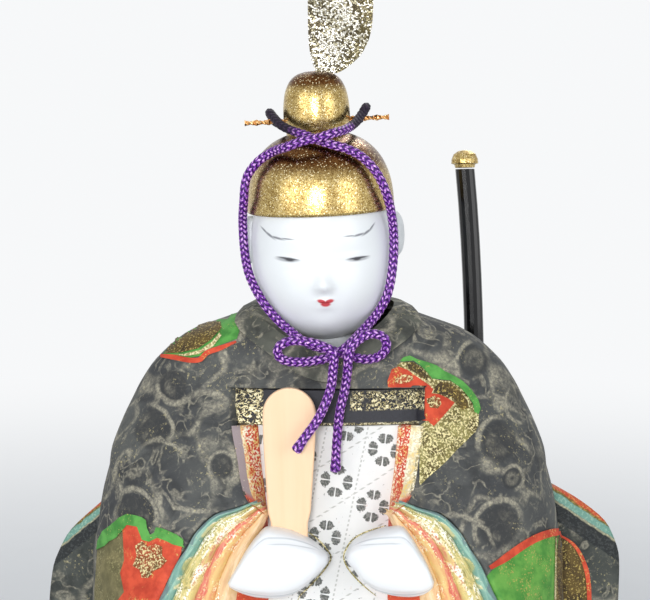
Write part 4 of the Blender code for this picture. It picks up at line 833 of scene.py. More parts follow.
def painted(name, outline, finish, tree, coats=1, step=3.0):
    """A thin coat of paint: a flat outline in pixels, laid on what the camera sees there."""
    edge = resampled(outline, step)
    flat = [Vector(p) for p in edge]
    low_x, high_x = min(p[0] for p in edge), max(p[0] for p in edge)
    low_y, high_y = min(p[1] for p in edge), max(p[1] for p in edge)
    near = KDTree(len(edge))
    for i, p in enumerate(edge):
        near.insert((p[0], p[1], 0), i)
    near.balance()
    y = low_y + step / 2
    while y < high_y:
        x = low_x + step / 2
        while x < high_x:
            if inside((x, y), outline) and near.find((x, y, 0))[2] > step * 0.55:
                flat.append(Vector((x, y)))
            x += step
        y += step
    ring = [(i, (i + 1) % len(edge)) for i in range(len(edge))]
    points, _, triangles, *_ = delaunay_2d_cdt(flat, ring, [], 1, 1e-4)
    vertices, good = [], []
    for p in points:
        ray = pixel_ray(p.x, p.y)
        hit, normal, _, _ = tree.ray_cast(EYE, ray)
        good.append(hit is not None and hit.y < AXIS_Y + 0.004)
        if hit is None:
            vertices.append(EYE + ray * DISTANCE)
            continue
        if normal.dot(ray) > 0:
            normal = -normal
        vertices.append(hit + normal * (coats * PAINT_LIFT))
    faces = []
    for face in (tuple(t) for t in triangles if all(good[i] for i in t)):
        a, b, c = (vertices[i] for i in face[:3])
        faces.append(face if (b - a).cross(c - a).dot(a - EYE) < 0 else face[::-1])
    new_piece(name, vertices, faces, "doll", finish)


def ribbon(line, wide, ends):
    """Outline of a brush stroke along points in pixels, narrower at its ends."""
    smooth = [Vector((p.x, p.y)) for p in curve_through([(x, y, 0) for x, y in line], 3.0)]
    left, right = [], []
    for i, here in enumerate(smooth):
        ahead = (smooth[min(i + 1, len(smooth) - 1)] - smooth[max(i - 1, 0)]).normalized()
        share = i / (len(smooth) - 1)
        half = wide / 2 * mix(ends, 1.0, min(1.0, 5 * share, 5 * (1 - share)))
        left.append((here.x - ahead.y * half, here.y + ahead.x * half))
        right.append((here.x + ahead.y * half, here.y - ahead.x * half))
    return left + right[::-1]


# The photograph's pixels, and two magnified parts of it: left, top, magnification
WHOLE, SHOULDER, CHEST = (0, 0, 1), (55.6, 272, 4.75), (395, 355, 9)


def pixels(view, numbers):
    left, top, zoom = view
    return [(left + x / zoom, top + y / zoom) for x, y in zip(numbers[::2], numbers[1::2])]


# Base, gold dust, how rare the dust is, the base's other tone, drifts that hold dust
PAINTS = {values[0]: speckled(*values) for values in [
    ("red_paint", (202, 62, 34), (222, 184, 96), (0.54, 0.6), (218, 82, 50), (0.56, 0.64)),
    ("flower_gold_paint", (196, 80, 40), (232, 218, 160), (0.5, 0.56), (96, 70, 26), (0.2, 0.3)),
    ("green_paint", (66, 142, 56), (196, 184, 96), (0.6, 0.66), (92, 166, 74), (0.5, 0.62)),
    ("mottled_green_paint", (74, 150, 54), (190, 168, 84), (0.54, 0.66), (104, 164, 68), (0.46, 0.62)),
    ("olive_paint", (98, 94, 58), (150, 142, 92), (0.52, 0.64), (124, 116, 78), (0.4, 0.6)),
    ("olive_gold_paint", (92, 78, 30), (236, 224, 168), (0.5, 0.56), (150, 142, 82), (0.14, 0.24)),
    ("brown_gold_paint", (54, 38, 10), (196, 172, 92), (0.55, 0.63), (98, 78, 30), (0.2, 0.3)),
    ("cream_gold_paint", (176, 160, 104), (236, 226, 176), (0.48, 0.56), None, (0.2, 0.3)),
]}

# Name, paint, coats from the robe up, pixels between points, view, outline; a brush stroke has its width and the
# share of it that its ends keep, then its line
ROBE_FIELDS = [
    ("shoulder_green", "green_paint", 1, 3, WHOLE, None, (
     213, 319, 243, 312, 241, 327, 237, 339, 207, 350, 201, 356, 190, 358, 157, 356, 165, 347, 174, 339, 190, 327,
     205, 321)),
    ("shoulder_disc", "brown_gold_paint", 2, 3, SHOULDER, None, (
     520, 390, 560, 330, 640, 270, 730, 240, 785, 240, 790, 270, 740, 325, 680, 365, 600, 385)),
    ("shoulder_crescent", "cream_gold_paint", 2, 3, SHOULDER, None, (
     560, 392, 610, 392, 690, 372, 745, 333, 780, 292, 790, 305, 745, 360, 680, 392, 620, 402)),
    ("shoulder_red", "red_paint", 3, 3, SHOULDER, (5.0, 0.4), (
     475, 400, 560, 408, 640, 422, 690, 418, 720, 388, 790, 362, 860, 333)),
    ("sleeve_green_field", "green_paint", 3, 2, WHOLE, None, (
     99, 541, 104, 531, 112, 525, 120, 518, 128, 514, 136, 515, 143, 517, 147, 520, 148, 528, 151, 535, 155, 533,
     157, 527, 163, 528, 170, 531, 177, 534, 184, 539, 184, 547, 174, 545, 166, 541, 158, 538, 150, 542, 143, 540,
     138, 527, 128, 525, 123, 531, 117, 538, 111, 541, 106, 546, 98, 550)),
    ("sleeve_olive_field", "olive_paint", 1, 3, WHOLE, None, (
     98, 545, 107, 543, 113, 538, 120, 533, 126, 528, 126, 560, 122, 572, 126, 590, 116, 606, 116, 680, 114, 752,
     96, 752, 95, 700, 95, 640, 95, 590)),
    ("sleeve_red_field", "red_paint", 2, 3, WHOLE, None, (
     123, 522, 130, 520, 138, 523, 143, 533, 149, 541, 158, 536, 184, 543, 181, 552, 176, 562, 171, 572, 165, 584,
     160, 600, 157, 640, 153, 700, 148, 752, 117, 752, 118, 680, 114, 606, 125, 592, 121, 573, 125, 560)),
    ("sleeve_flower", "flower_gold_paint", 3, 2, WHOLE, None, (
     136, 546, 143, 541, 149, 547, 156, 544, 163, 547, 163, 556, 168, 561, 162, 568, 155, 571, 150, 578, 143, 578,
     141, 570, 134, 566, 138, 556)),
    ("chest_gold", "olive_gold_paint", 1, 2, CHEST, None, (
     20, 90, 60, 66, 150, 62, 240, 110, 300, 170, 340, 215, 420, 232, 500, 235, 580, 290, 640, 350, 700, 450, 752,
     520, 752, 620, 722, 690, 640, 775, 560, 850, 470, 950, 390, 1025, 300, 1100, 228, 1172, 218, 1150, 225, 900,
     225, 760, 225, 640, 330, 560, 300, 420, 240, 300, 150, 180, 20, 130)),
    ("chest_brown", "brown_gold_paint", 2, 2, CHEST, None, (
     110, 82, 165, 66, 225, 120, 290, 190, 290, 250, 180, 180, 120, 130)),
    ("chest_brown_patch", "brown_gold_paint", 2, 2, CHEST, None, (
     350, 300, 400, 245, 470, 250, 540, 290, 600, 350, 650, 420, 660, 480, 600, 500, 540, 440, 470, 400, 380, 360,
     340, 340)),
    ("chest_cream_edge", "cream_gold_paint", 2, 3, CHEST, (2.6, 0.4), (
     40, 75, 140, 150, 240, 215, 330, 290, 350, 350, 440, 370, 530, 430, 480, 510, 400, 600, 330, 680)),
    ("chest_red", "red_paint", 3, 2, CHEST, None, (
     -70, 240, -30, 130, 30, 108, 110, 138, 200, 205, 290, 265, 340, 310, 330, 350, 400, 362, 470, 395, 532, 435,
     470, 510, 400, 590, 345, 645, 300, 600, 222, 590, 222, 500, 222, 330, 60, 330, -60, 330)),
    ("chest_flower", "flower_gold_paint", 4, 2, CHEST, None, (
     290, 400, 350, 375, 400, 400, 410, 450, 380, 490, 320, 480, 295, 440)),
    ("chest_flower_top", "flower_gold_paint", 4, 2, CHEST, None, (
     0, 220, 70, 180, 150, 190, 160, 230, 100, 260, 0, 265)),
    ("chest_green", "green_paint", 4, 2, CHEST, None, (
     40, 62, 70, 25, 130, 10, 200, 45, 290, 70, 370, 100, 440, 150, 520, 190, 600, 240, 680, 320, 740, 410, 762,
     490, 742, 540, 705, 520, 690, 440, 640, 370, 580, 300, 490, 235, 400, 225, 330, 220, 290, 170, 230, 105, 160,
     55, 90, 62)),
    ("right_field_green", "mottled_green_paint", 1, 2, WHOLE, None, (
     487, 576, 492, 570, 500, 564, 510, 556.5, 522, 549, 535, 541, 550, 536, 558, 535, 555, 560, 553.5, 600, 551,
     680, 548, 752, 470, 752, 480, 690, 489, 640, 492, 610, 488, 595)),
    ("right_field_brown", "brown_gold_paint", 1, 2, WHOLE, None, (
     554.2, 536, 570, 534, 575, 560, 575, 752, 549, 752, 552, 680, 554.5, 600)),
    ("right_field_cream", "cream_gold_paint", 2, 3, WHOLE, (1.8, 0.4), (
     555, 538, 554.4, 580, 553.8, 620, 552, 680, 549, 750)),
    ("right_field_red", "red_paint", 3, 2, WHOLE, (7.6, 0.55), (
     489, 568, 494, 565, 501, 560.5, 510, 554, 522, 545.5, 535, 538, 549, 533, 560, 532, 572, 534)),
]
WING_FIELDS = [
    ("wing_brown", "brown_gold_paint", 1, 2, WHOLE, None, (
     552, 534, 562, 536, 573, 545, 581, 557, 587, 575, 589, 600, 589, 680, 580, 752, 545, 752, 550, 640)),
    ("wing_red_line", "red_paint", 2, 3, WHOLE, (4.4, 0.4), (
     556, 534, 565, 538, 574, 545, 581, 556, 587, 574, 589, 600, 588, 680, 582, 745)),
]
on_robe = tree_of(robe_skin)
for tree, fields in ((on_robe, ROBE_FIELDS), (tree_of(left_wing), WING_FIELDS)):
    for name, paint, coats, step, view, stroke, numbers in fields:
        line = pixels(view, numbers)
        painted(name, ribbon(line, *stroke) if stroke else line, PAINTS[paint], tree, coats, step)


# Head, in a frame that tilts with it

HEAD_AXIS = Vector(next(j["axis"] for j in frame["joints"] if j["name"] == "head_turn"))
TILT = Matrix.Rotation(atan2(HEAD_AXIS.x, HEAD_AXIS.z), 4, "Y")
HEAD_FRAME = Matrix.Translation((0, AXIS_Y, CORE_TOP)) @ TILT
HEAD_HALF_WIDTH, HEAD_FRONT, HEAD_BACK = 0.0141, 0.0146, 0.0155
HEAD_MIDDLE, HEAD_FORWARD = 0.0240, 0.0025
JAW_DROP, JAW_SQUARENESS = 0.0168, 2.2
BROW_RISE, CAP_SQUARENESS = 0.0200, 2.5
BRIM_RISE, CAP_HEIGHT = 0.0330, 0.0156
NOSE_REACH = 0.0015
NOSE_HEIGHT = HEAD_MIDDLE - 0.26 * JAW_DROP
NECK_RADIUS = 0.0055
EAR_SIZES = (0.0027, 0.0034, 0.0048)
EAR_PLACE, EAR_TURN = (0.0141, 0.0035, 0.0032), radians(15)

# Reach as a share of the nose's, place across and up from its tip and size, as shares of the head's half width
FACE_SWELLS = [
    (1.00, 0.00, 0.00, 0.11, 0.13),
    (0.42, 0.00, 0.20, 0.09, 0.26),
    (0.22, 0.09, -0.03, 0.07, 0.07),
    (0.26, 0.045, -0.225, 0.08, 0.045),
    (0.30, 0.00, -0.315, 0.12, 0.055),
    (-0.14, 0.00, -0.13, 0.04, 0.06),
    (0.55, 0.00, -0.62, 0.30, 0.18),
    (0.40, 0.48, -0.12, 0.30, 0.32),
    (-0.32, 0.46, 0.34, 0.26, 0.13),
    (0.26, 0.44, 0.37, 0.19, 0.055),
    (0.14, 0.44, 0.27, 0.17, 0.045),
    (0.16, 0.42, 0.62, 0.26, 0.12),
]


def skull_share(height):
    rise = height - HEAD_MIDDLE
    if rise < 0:
        return max(0.0, 1 - (-rise / JAW_DROP) ** JAW_SQUARENESS) ** (1 / JAW_SQUARENESS)
    return max(0.0, 1 - (rise / BROW_RISE) ** CAP_SQUARENESS) ** (1 / CAP_SQUARENESS)


def face_relief(x, height):
    across, up = x / HEAD_HALF_WIDTH, (height - NOSE_HEIGHT) / HEAD_HALF_WIDTH
    relief = 0.0
    for reach, side, rise, wide, tall in FACE_SWELLS:
        for place in ((side, -side) if side else (0.0,)):
            relief += reach * exp(-(((across - place) / wide) ** 2) - ((up - rise) / tall) ** 2)
    return relief * NOSE_REACH


def make_head():
    """Skull with a modelled face, then the ears, then the neck's stump, in the head's frame."""
    sides, rows = 144, 110
    low, high = HEAD_MIDDLE - JAW_DROP, BRIM_RISE + 0.0012
    vertices = [Vector((0, -HEAD_FORWARD, low))]
    for r in range(rows):
        share = (r + 1) / rows
        height = mix(low, high, share if share > 0.35 else share * share / 0.70 + share / 2)
        size = skull_share(height)
        for angle in circle(sides):
            radius = oval_radius(HEAD_HALF_WIDTH * size, HEAD_FRONT * size, HEAD_BACK * size, 2, angle)
            x, y = radius * sin(angle), -radius * cos(angle) - HEAD_FORWARD
            if cos(angle) > 0:
                y -= face_relief(x, height) * cos(angle)
            vertices.append(Vector((x, y, height)))
    faces = [(0, 1 + (k + 1) % sides, 1 + k) for k in range(sides)]
    faces += grid_faces(rows, sides, closed=True, start=1)
    for side in (-1, 1):
        start, turns, levels = len(vertices), 24, 20
        place = Vector((side * EAR_PLACE[0], EAR_PLACE[1] - HEAD_FORWARD, HEAD_MIDDLE + EAR_PLACE[2]))
        back = Matrix.Rotation(-side * EAR_TURN, 3, "Z")
        for i in range(levels + 1):
            wide = sin(pi * i / levels)
            for t in circle(turns):
                out = Vector((cos(t) * wide, sin(t) * wide, -cos(pi * i / levels)))
                rim = out.y**2 * 1.1 + out.z**2
                dent = 0.34 * exp(-rim / 0.28) if out.x * side > 0 else 0.0
                p = Vector((out.x * EAR_SIZES[0] * (1 - dent), out.y * EAR_SIZES[1], out.z * EAR_SIZES[2]))
                p.rotate(back)
                vertices.append(p + place)
        faces += grid_faces(levels + 1, turns, closed=True, start=start)
    start, turns = len(vertices), 48
    for height, wide in ((0.0004, 1.0), (0.004, 0.97), (0.008, 0.97), (0.012, 1.0)):
        radius = NECK_RADIUS * wide
        vertices += [Vector((radius * cos(t), radius * sin(t), height)) for t in circle(turns)]
    faces += grid_faces(4, turns, closed=True, start=start)
    return new_piece("painted_head", [HEAD_FRAME @ v for v in vertices], faces, "head", None, ("head",))


head = make_head()
on_head = tree_of(head)


def paint_face():
    """The shell paint with brows, eyes and lips brushed on in soft strokes."""
    s, colour, grain = shell_paint("face_paint", (224, 229, 232), (233, 236, 238))
    front = 1 - s.y.step(AXIS_Y - 0.0075, AXIS_Y - 0.0055)

    def stroke(px, py, half_px, thin_px, slope, soft):
        spot = on_head.ray_cast(EYE, pixel_ray(px, py))[0]
        turn = radians(-slope)
        across, up = s.x - spot.x, s.z - spot.z
        along = (across * cos(turn) + up * sin(turn)) / (half_px * PIXEL)
        over = (up * cos(turn) - across * sin(turn)) / (thin_px * PIXEL)
        return (1 - s.length(along, over).step(1 - soft, 1 + soft)) * front

    masks = []
    for strokes, soft, cover, paint in FACE_PAINTS:
        masks.append(s.most(*(stroke(*spec, soft) for spec in strokes)))
        colour = s.blend(masks[-1] * cover, colour, rgb(*paint))
    return s.done(colour, grain, SHELL_RELIEF, SHELL_ROUGHNESS - masks[LIPS] * 0.08)


# Strokes in pixels: middle, half length, half width, fall to the right in degrees. Then how soft, how dense, colour
FACE_PAINTS = [
    ([(264.5, 230.5, 4.5, 0.8, 42), (269.5, 235.0, 5.5, 1.1, 34), (277, 238.0, 6.5, 1.0, 10),
      (287, 239.0, 6.0, 0.6, 2), (371.5, 227.5, 4.5, 0.8, -52), (367, 232.0, 5.0, 1.1, -32),
      (359, 234.8, 6.0, 1.0, -12), (350, 236.0, 5.0, 0.6, -3)], 0.7, 0.80, (72, 74, 86)),
    ([(287, 259.5, 10.5, 2.3, 3), (358, 258.8, 10.0, 2.3, -4)], 0.4, 0.65, (128, 130, 138)),
    ([(288, 258.6, 9.5, 0.9, 5), (289.5, 259.6, 4.5, 1.7, 3), (358, 257.8, 9.5, 0.9, -5),
      (357, 258.7, 4.0, 1.7, -3)], 0.5, 0.92, (34, 34, 42)),
    ([(321.6, 301.6, 4.3, 2.0, 12), (329.4, 301.4, 4.3, 2.0, -12), (325.6, 304.2, 4.8, 2.7, 0)],
     0.32, 0.95, (196, 44, 52)),
    ([(325, 302.6, 5.0, 0.7, 0)], 0.6, 0.55, (112, 14, 24)),
]
LIPS = 3
head.data.materials.append(paint_face())


# Crown, on fine rings

CAP_HALF_WIDTH, CAP_FRONT, CAP_BACK = 0.0146, 0.0151, 0.0160
KNOB_RADIUS, KNOB_HEIGHT, KNOB_SINK, KNOB_FOOT = 0.0066, 0.0116, 0.0030, BRIM_RISE + CAP_HEIGHT
KNOB_SHARES = [(0.00, 0.93), (0.05, 0.96), (0.25, 1.00), (0.50, 0.975), (0.70, 0.90), (0.87, 0.74), (0.965, 0.52),
               (1.00, 0.30)]
TONGUE_X, TONGUE_HALF_WIDTH, TONGUE_DEPTH, TONGUE_HALF_DEPTH = 0.0012, 0.0026, 0.0058, 0.0006


def turned(name, rings, finish):
    """A piece from rings about the head's upright, low to high."""
    count = len(rings[0])
    vertices = [HEAD_FRAME @ p for ring in rings for p in ring]
    faces = grid_faces(len(rings), count, closed=True)
    faces.append(tuple(range(len(vertices) - count, len(vertices))))
    faces.append(tuple(reversed(range(count))))
    return new_piece(name, vertices, faces, "head", finish, crease=50)


def make_cap(finish):
    rings = []
    shares = [sin(pi / 2 * (i + 0.5) / 64.2) for i in range(64)]
    rounds = [(1.0, wide, rise) for wide, rise in ((0.0007, 0.0004), (0.0005, 0.00002), (0.00015, 0.0))]
    rounds += [((1 - share**CAP_SQUARENESS) ** (1 / CAP_SQUARENESS), 0.0, CAP_HEIGHT * share) for share in shares]
    for narrow, wide, rise in rounds:
        sizes = [size * narrow - wide for size in (CAP_HALF_WIDTH, CAP_FRONT, CAP_BACK)]
        ring = [(angle, oval_radius(*sizes, 2, angle)) for angle in circle(128)]
        rings.append([Vector((r * sin(a), -r * cos(a) - HEAD_FORWARD, BRIM_RISE + rise)) for a, r in ring])
    return turned("gilt_cap", rings, finish)


def make_knob(finish):
    """A round knob with a slot for the plume cut into its top."""
    rings = []
    for height, share in [(-KNOB_SINK, KNOB_SHARES[0][1])] + [(KNOB_HEIGHT * i / 60, None) for i in range(61)]:
        radius = KNOB_RADIUS * (share or read_table(KNOB_SHARES, height / KNOB_HEIGHT)[0])
        rings.append([Vector((radius * cos(t), radius * sin(t) - HEAD_FORWARD / 2, KNOB_FOOT + height))
                      for t in circle(96)])
    knob = turned("gilt_knob", rings, finish)
    corners = [Vector((TONGUE_X + x * TONGUE_HALF_WIDTH, y * TONGUE_HALF_DEPTH - HEAD_FORWARD / 2,
                       KNOB_FOOT + KNOB_HEIGHT + z)) for z in (-TONGUE_DEPTH, 0.004)
               for x, y in ((-1, -1), (1, -1), (1, 1), (-1, 1))]
    mesh = bpy.data.meshes.new("slot")
    mesh.from_pydata([HEAD_FRAME @ p for p in corners], [], [(3, 2, 1, 0), (4, 5, 6, 7), (0, 1, 5, 4), (1, 2, 6, 5),
                                                            (2, 3, 7, 6), (3, 0, 4, 7)])
    cutter = placed("slot", mesh)
    cut = knob.modifiers.new("slot", "BOOLEAN")
    cut.object, cut.operation = cutter, "DIFFERENCE"
    cut_mesh = bpy.data.meshes.new_from_object(knob.evaluated_get(bpy.context.evaluated_depsgraph_get()))
    knob.modifiers.clear()
    knob.data = cut_mesh
    bpy.data.objects.remove(cutter)
    return knob


gilt = gold("gilt_crown", 0.28, painted_dark_reflection=True)
for piece, node in ((make_cap(gilt), "crown_cap"), (make_knob(gilt), "crown_knob")):
    # Each point knows how much it faces up, for the gold's painted dark reflection
    normals = [0.0] * (3 * len(piece.data.vertices))
    piece.data.vertex_normals.foreach_get("vector", normals)
    piece.data.attributes.new("lift", "FLOAT", "POINT").data.foreach_set("value", normals[2::3])
    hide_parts(node)
repaint("scabbard_cap", gold("gilt_cap_of_scabbard"))
repaint("hairpin", gold("gold_wire", 0.25, (250, 208, 150), (190, 132, 70), 0.0002, 0.00001))
repaint("scabbard", lacquer_finish())
plain_wood = wood_finish("plain_wood", (214, 178, 132), (176, 136, 92), 0.0022)
for node in ("neck_peg", "base_board", "right_hand_peg", "left_hand_peg"):
    repaint(node, plain_wood)


# Tablet: half width at each height above its foot, as it narrows evenly to the fist

SHAKU_ROUND = 0.00045


def make_tablet(finish):
    (left, front, foot), (right, back, top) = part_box("shaku")
    middle, deep, wide = (left + right) / 2, (back - front) / 2, (right - left) / 2
    grip, shoulder = 0.0036, foot + 0.0130
    outline = [(grip, foot), (grip, shoulder - 0.0010)]
    outline += [(mix(grip + 0.0004, wide, ease(i, -4, 16)), mix(shoulder, top - wide, i / 16)) for i in range(1, 17)]
    outline += [(wide * cos(pi / 2 * i / 24), top - wide + wide * sin(pi / 2 * i / 24)) for i in range(1, 24)]
    rows = []
    for half, height in outline:
        corner = [(half - SHAKU_ROUND * (1 - cos(pi / 2 * i / 6)), -deep + SHAKU_ROUND * (1 - sin(pi / 2 * i / 6)))
                  for i in range(7)]
        corner.append((half - SHAKU_ROUND * 1.6, -deep))
        ring = [(-x, y) for x, y in corner] + corner[::-1]
        ring += [(x, -y) for x, y in corner] + [(-x, -y) for x, y in corner[::-1]]
        rows.append([Vector((middle + x, (front + back) / 2 + y, height)) for x, y in ring])
    rows.append([Vector((middle, p.y, top - 0.00002)) for p in rows[-1]])
    sheet("wooden_tablet", rows, "tablet", finish, ("shaku",), closed=True, crease=180)


make_tablet(wood_finish("peach_wood", (244, 209, 172), (241, 204, 165), 0.0028))


# Plume

GAUZE_FLAKE = 0.00036


def plume_finish():
    """Gauze of flat metal threads, crumpled: painted glints and painted shade on the threads and in their gaps, a
    painted highlight down the middle, painted shade at the right edge.
    """
    s = Shade("gold_gauze", 0.36, 0.55)
    at = s.warped(0.0016, 0.0007, 2.0)
    shine, height, _ = s.flakes(GAUZE_FLAKE, at)
    rim = s.cells(GAUZE_FLAKE, feature="DISTANCE_TO_EDGE", at=at).step(0.02, 0.16)
    fold = s.noise(0.0030, 2.0, 0.5, 0.6)
    # Painted shade along the band's right edge, and a painted highlight down its middle
    edge = s.field("across").step(0.70, 0.90)
    middle = 1 - (s.field("across") - 0.42).size().step(0.10, 0.40)
    # Painted glints and painted shade of the crumpled threads
    glint = shine * 0.78 + fold * 0.34 + middle * 0.12 - edge * 0.06
    thread = s.blend(glint.step(0.36, 0.56), rgb(70, 60, 36), rgb(176, 168, 138))
    thread = s.blend(glint.step(0.58, 0.70), thread, rgb(255, 251, 238))
    thread = s.blend(edge * 0.30, thread, rgb(128, 116, 66))
    # Painted shade in the gaps between the threads
    colour = s.blend(rim * 0.80 + 0.20, rgb(58, 50, 28), thread)
    return s.done(colour, rim * 0.4 + height * 0.5, 0.00010, 0.34 + (1 - rim) * 0.2)


# Plume's outline in the photograph's pixels, from its root to above the picture: row, left edge, right edge
PLUME_ROWS = [
    (73.0, 317.0, 337.0), (71.0, 315.5, 341.5), (67.5, 314.0, 347.0), (63.0, 312.6, 352.5), (57.0, 311.0, 359.0),
    (50.0, 309.6, 363.8), (40.0, 308.6, 368.6), (28.0, 308.0, 371.6), (12.0, 307.8, 373.0), (-10.0, 307.6, 373.4),
    (-40.0, 307.6, 373.4), (-80.0, 308.0, 373.0), (-115.0, 309.0, 371.5), (-135.0, 311.5, 368.5),
    (-146.0, 315.5, 363.5), (-153.0, 322.0, 355.0), (-156.0, 331.0, 345.0),
]
PLUME_LEAN, PLUME_HALF_THICKNESS = 0.0110, 0.0003


def make_plume(finish):
    """A flat gauze band that bends back and ripples a little, with a tongue in the knob's slot."""
    columns, count = 40, 150
    shares = [c / columns for c in range(columns + 1)]
    table = [(-row, left, right) for row, left, right in PLUME_ROWS]
    crown = KNOB_FOOT + KNOB_HEIGHT
    half = TONGUE_HALF_WIDTH - 0.0003
    rows = [[HEAD_FRAME @ Vector((TONGUE_X + half * (2 * across - 1), -HEAD_FORWARD / 2, crown - deep))
             for across in shares] for deep in (0.0054, 0.0030, 0.0004)]
    root = rows[-1][0].y
    for i in range(count + 1):
        key = mix(table[0][0], table[-1][0], i / count)
        left, right = read_table(table, key)
        share = (key - table[0][0]) / (table[-1][0] - table[0][0])
        row = []
        for across in shares:
            px = mix(left, right, across)
            ripple = 0.00045 * sin(px / 15 + key / 22) * sin(key / 17) * min(1.0, 6 * share)
            row.append(on_plane(px, -key, -(root + PLUME_LEAN * share**2.2 + ripple)))
        rows.append(row)
    thick = Vector((0, PLUME_HALF_THICKNESS, 0))
    vertices = [p + side * thick for side in (-1, 1) for row in rows for p in row]
    wide, tall, start = columns + 1, len(rows), len(vertices) // 2
    faces = grid_faces(tall, wide)
    faces += [tuple(start + v for v in face[::-1]) for face in grid_faces(tall, wide)]
    border = [r * wide for r in range(tall)] + [(tall - 1) * wide + c for c in range(1, wide)]
    border += [r * wide + columns for r in range(tall - 2, -1, -1)] + list(range(columns - 1, 0, -1))
    faces += [(a, b, start + b, start + a) for a, b in zip(border, border[1:] + border[:1])]
    new_piece("gauze_plume", vertices, faces, "plume", finish, ("plume",), crease=60,
              fields={"across": shares * (2 * tall)})


make_plume(plume_finish())


# Front of the dress


def panel_finish():
    """White brocade with dark flowers of four notched petals on a slanting lattice, and dotted lines."""
    s = Shade("white_brocade", 0.62)
    middle = on_front(384, 450)
    a, b = on_front(336.5, 481) - middle, on_front(372.5, 506) - middle
    area = a.x * b.z - a.z * b.x
    across, up = s.x - middle.x, s.z - middle.z
    u = (across * b.z - up * b.x) / area
    v = (up * a.x - across * a.z) / area
    grain = s.noise(0.00040, 2.0, 0.6)

    def flower(u, v, size, turn):
        du, dv = u - s.maths("ROUND", u), v - s.maths("ROUND", v)
        x, z = du * a.x + dv * b.x, du * a.z + dv * b.z
        far = s.length(x, z) / size
        fold = s.maths("PINGPONG", s.maths("ARCTAN2", z, x) + (radians(turn) + 8 * pi), pi / 4)
        out, beside = far * s.maths("COSINE", fold), far * s.maths("SINE", fold)
        petal = s.maths("SQRT", (out - 1.85) * (out - 1.85) * 1.30 + beside * beside * 0.60)
        outer = s.length(out - 2.95, beside)
        inner = s.length(out - 0.80, beside)
        shape = 1 - (petal + grain * 0.7 - 0.35).step(0.84, 1.00)
        return shape * outer.step(0.34, 0.50) * inner.step(0.25, 0.40) * (beside / out).step(0.030, 0.075)

    petals = flower(u, v, 0.00120, 8)
    specks = s.noise(0.00062, 2.0, 0.5, at=s.point(s.z, s.x, s.y)).step(0.70, 0.74)
    lines = ((s.maths("FRACT", w + 0.5) - 0.5).size().step(0.474, 0.488) for w in (u, v))
    dots = (s.maths("FRACT", s.z / 0.0009) - 0.5).size()
    dotted = s.most(*lines) * (1 - dots.step(0.20, 0.34))
    ground = s.blend(s.noise(0.004, 2.0), rgb(222, 224, 224), rgb(236, 236, 233))
    pink = s.noise(0.0013, 3.0, 0.6, at=s.point(s.z, s.x, s.y)).step(0.66, 0.73)
    ground = s.blend(pink * 0.30, ground, rgb(206, 172, 150))
    dark = s.blend(grain.step(0.42, 0.62), rgb(82, 86, 82), rgb(132, 132, 128))
    colour = s.blend(dotted * 0.5, ground, rgb(132, 134, 124))
    colour = s.blend(s.most(petals, specks * 0.6), colour, dark)
    return s.done(colour, petals * 0.3 + s.noise(THREAD, 2.0) * 0.4, 0.00005)


def on_front(px, py):
    return panel_tree.ray_cast(EYE, pixel_ray(px, py))[0]


def band_finish():
    """Navy band with worn gold brocade at its two ends and a pale line along its foot."""
    s = Shade("navy_brocade", 0.5)
    up = (s.z - BAND_BOTTOM) / (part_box("chest_band")[1][2] - BAND_BOTTOM)
    left = 1 - s.x.step(on_front(262, 405).x, on_front(264, 405).x)
    right = s.x.step(on_front(349, 405).x, on_front(352, 405).x)
    weave = s.noise(0.00060, 3.0, 0.65, 1.2)
    leaf = weave.step(0.47, 0.54) * s.noise(0.0026, 1.0).step(0.30, 0.44)
    foot = up.within(0.0, 0.07, 0.02) * weave.step(0.40, 0.60) * 0.8
    mask = s.most(left * leaf, right * leaf * up.within(0.44, 0.96, 0.05), foot)
    ground = s.blend(weave, rgb(20, 20, 24), rgb(46, 47, 56))
    colour = s.blend(mask, ground, s.blend(weave.step(0.5, 0.64), rgb(206, 188, 124), rgb(250, 242, 206)))
    return s.done(colour, mask * 0.7 + weave * 0.3, 0.00014, 0.62 - mask * 0.25, mask * 0.3)


STRIP_FOOT = 0.0535


def make_strip(side, name, stops):
    """Edges of the robes beneath: a sheet from the panel to the sleeve, lower down to the innermost layer."""
    inner = [(hc * ROBE_HEIGHT, xc * ROBE_HALF_WIDTH) for _, _, _, hc, xc in EDGE_SHARES[6:]]
    reach, columns, levels = inner + LAPEL, 24, 80
    rows = []
    for i in range(levels + 1):
        height = mix(STRIP_FOOT, BAND_BOTTOM - 0.0002, i / levels)
        near, far = read_table(PANEL_EDGE, height)[0], read_table(reach, height)[0]
        deep = mix(0.0052, 0.0006, ease(height, 0.0690, 0.0745))
        start = panel_tree.ray_cast(Vector((side * (near - 0.0008), -1, height)), Vector((0, 1, 0)))[0].y
        end = on_robe_face(side * far, height, deep)
        row = [(Vector((side * (near - 0.0001), start + 0.0004, height)), 0.0)]
        for c in range(columns):
            share = c / (columns - 1)
            y = mix(start - 0.0006, end.y, share) - 0.0004 * sin(pi * share)
            row.append((Vector((mix(side * near, end.x, share), y, height)), share))
        rows.append(row[::side])
    s = Shade(name + "_paint", 0.62)
    grain, drift = s.noise(0.00045, 3.0, 0.65), s.noise(0.0022, 2.0, 0.6)
    share = s.field("across") + (drift - 0.5) * 0.10
    leaf = s.blend(drift.step(0.4, 0.6), rgb(236, 208, 130), rgb(252, 246, 222))
    colour = rgb(*stops[0][1])
    for low, tone, glints in stops:
        fine = s.blend(grain.step(glints, glints + 0.07), rgb(*tone), leaf)
        colour = s.blend(share.step(low - 0.02, low + 0.02), colour, fine)
    red_foot = 1 - (s.z - s.field("across") * 0.004).step(0.0705, 0.0725)
    colour = s.blend(red_foot, colour, s.blend(grain.step(0.60, 0.66), rgb(206, 74, 44), rgb(232, 178, 110)))
    sheet(name + "_sheet", rows, "doll", s.done(colour, grain, 0.00008), (name,), words=("across",))


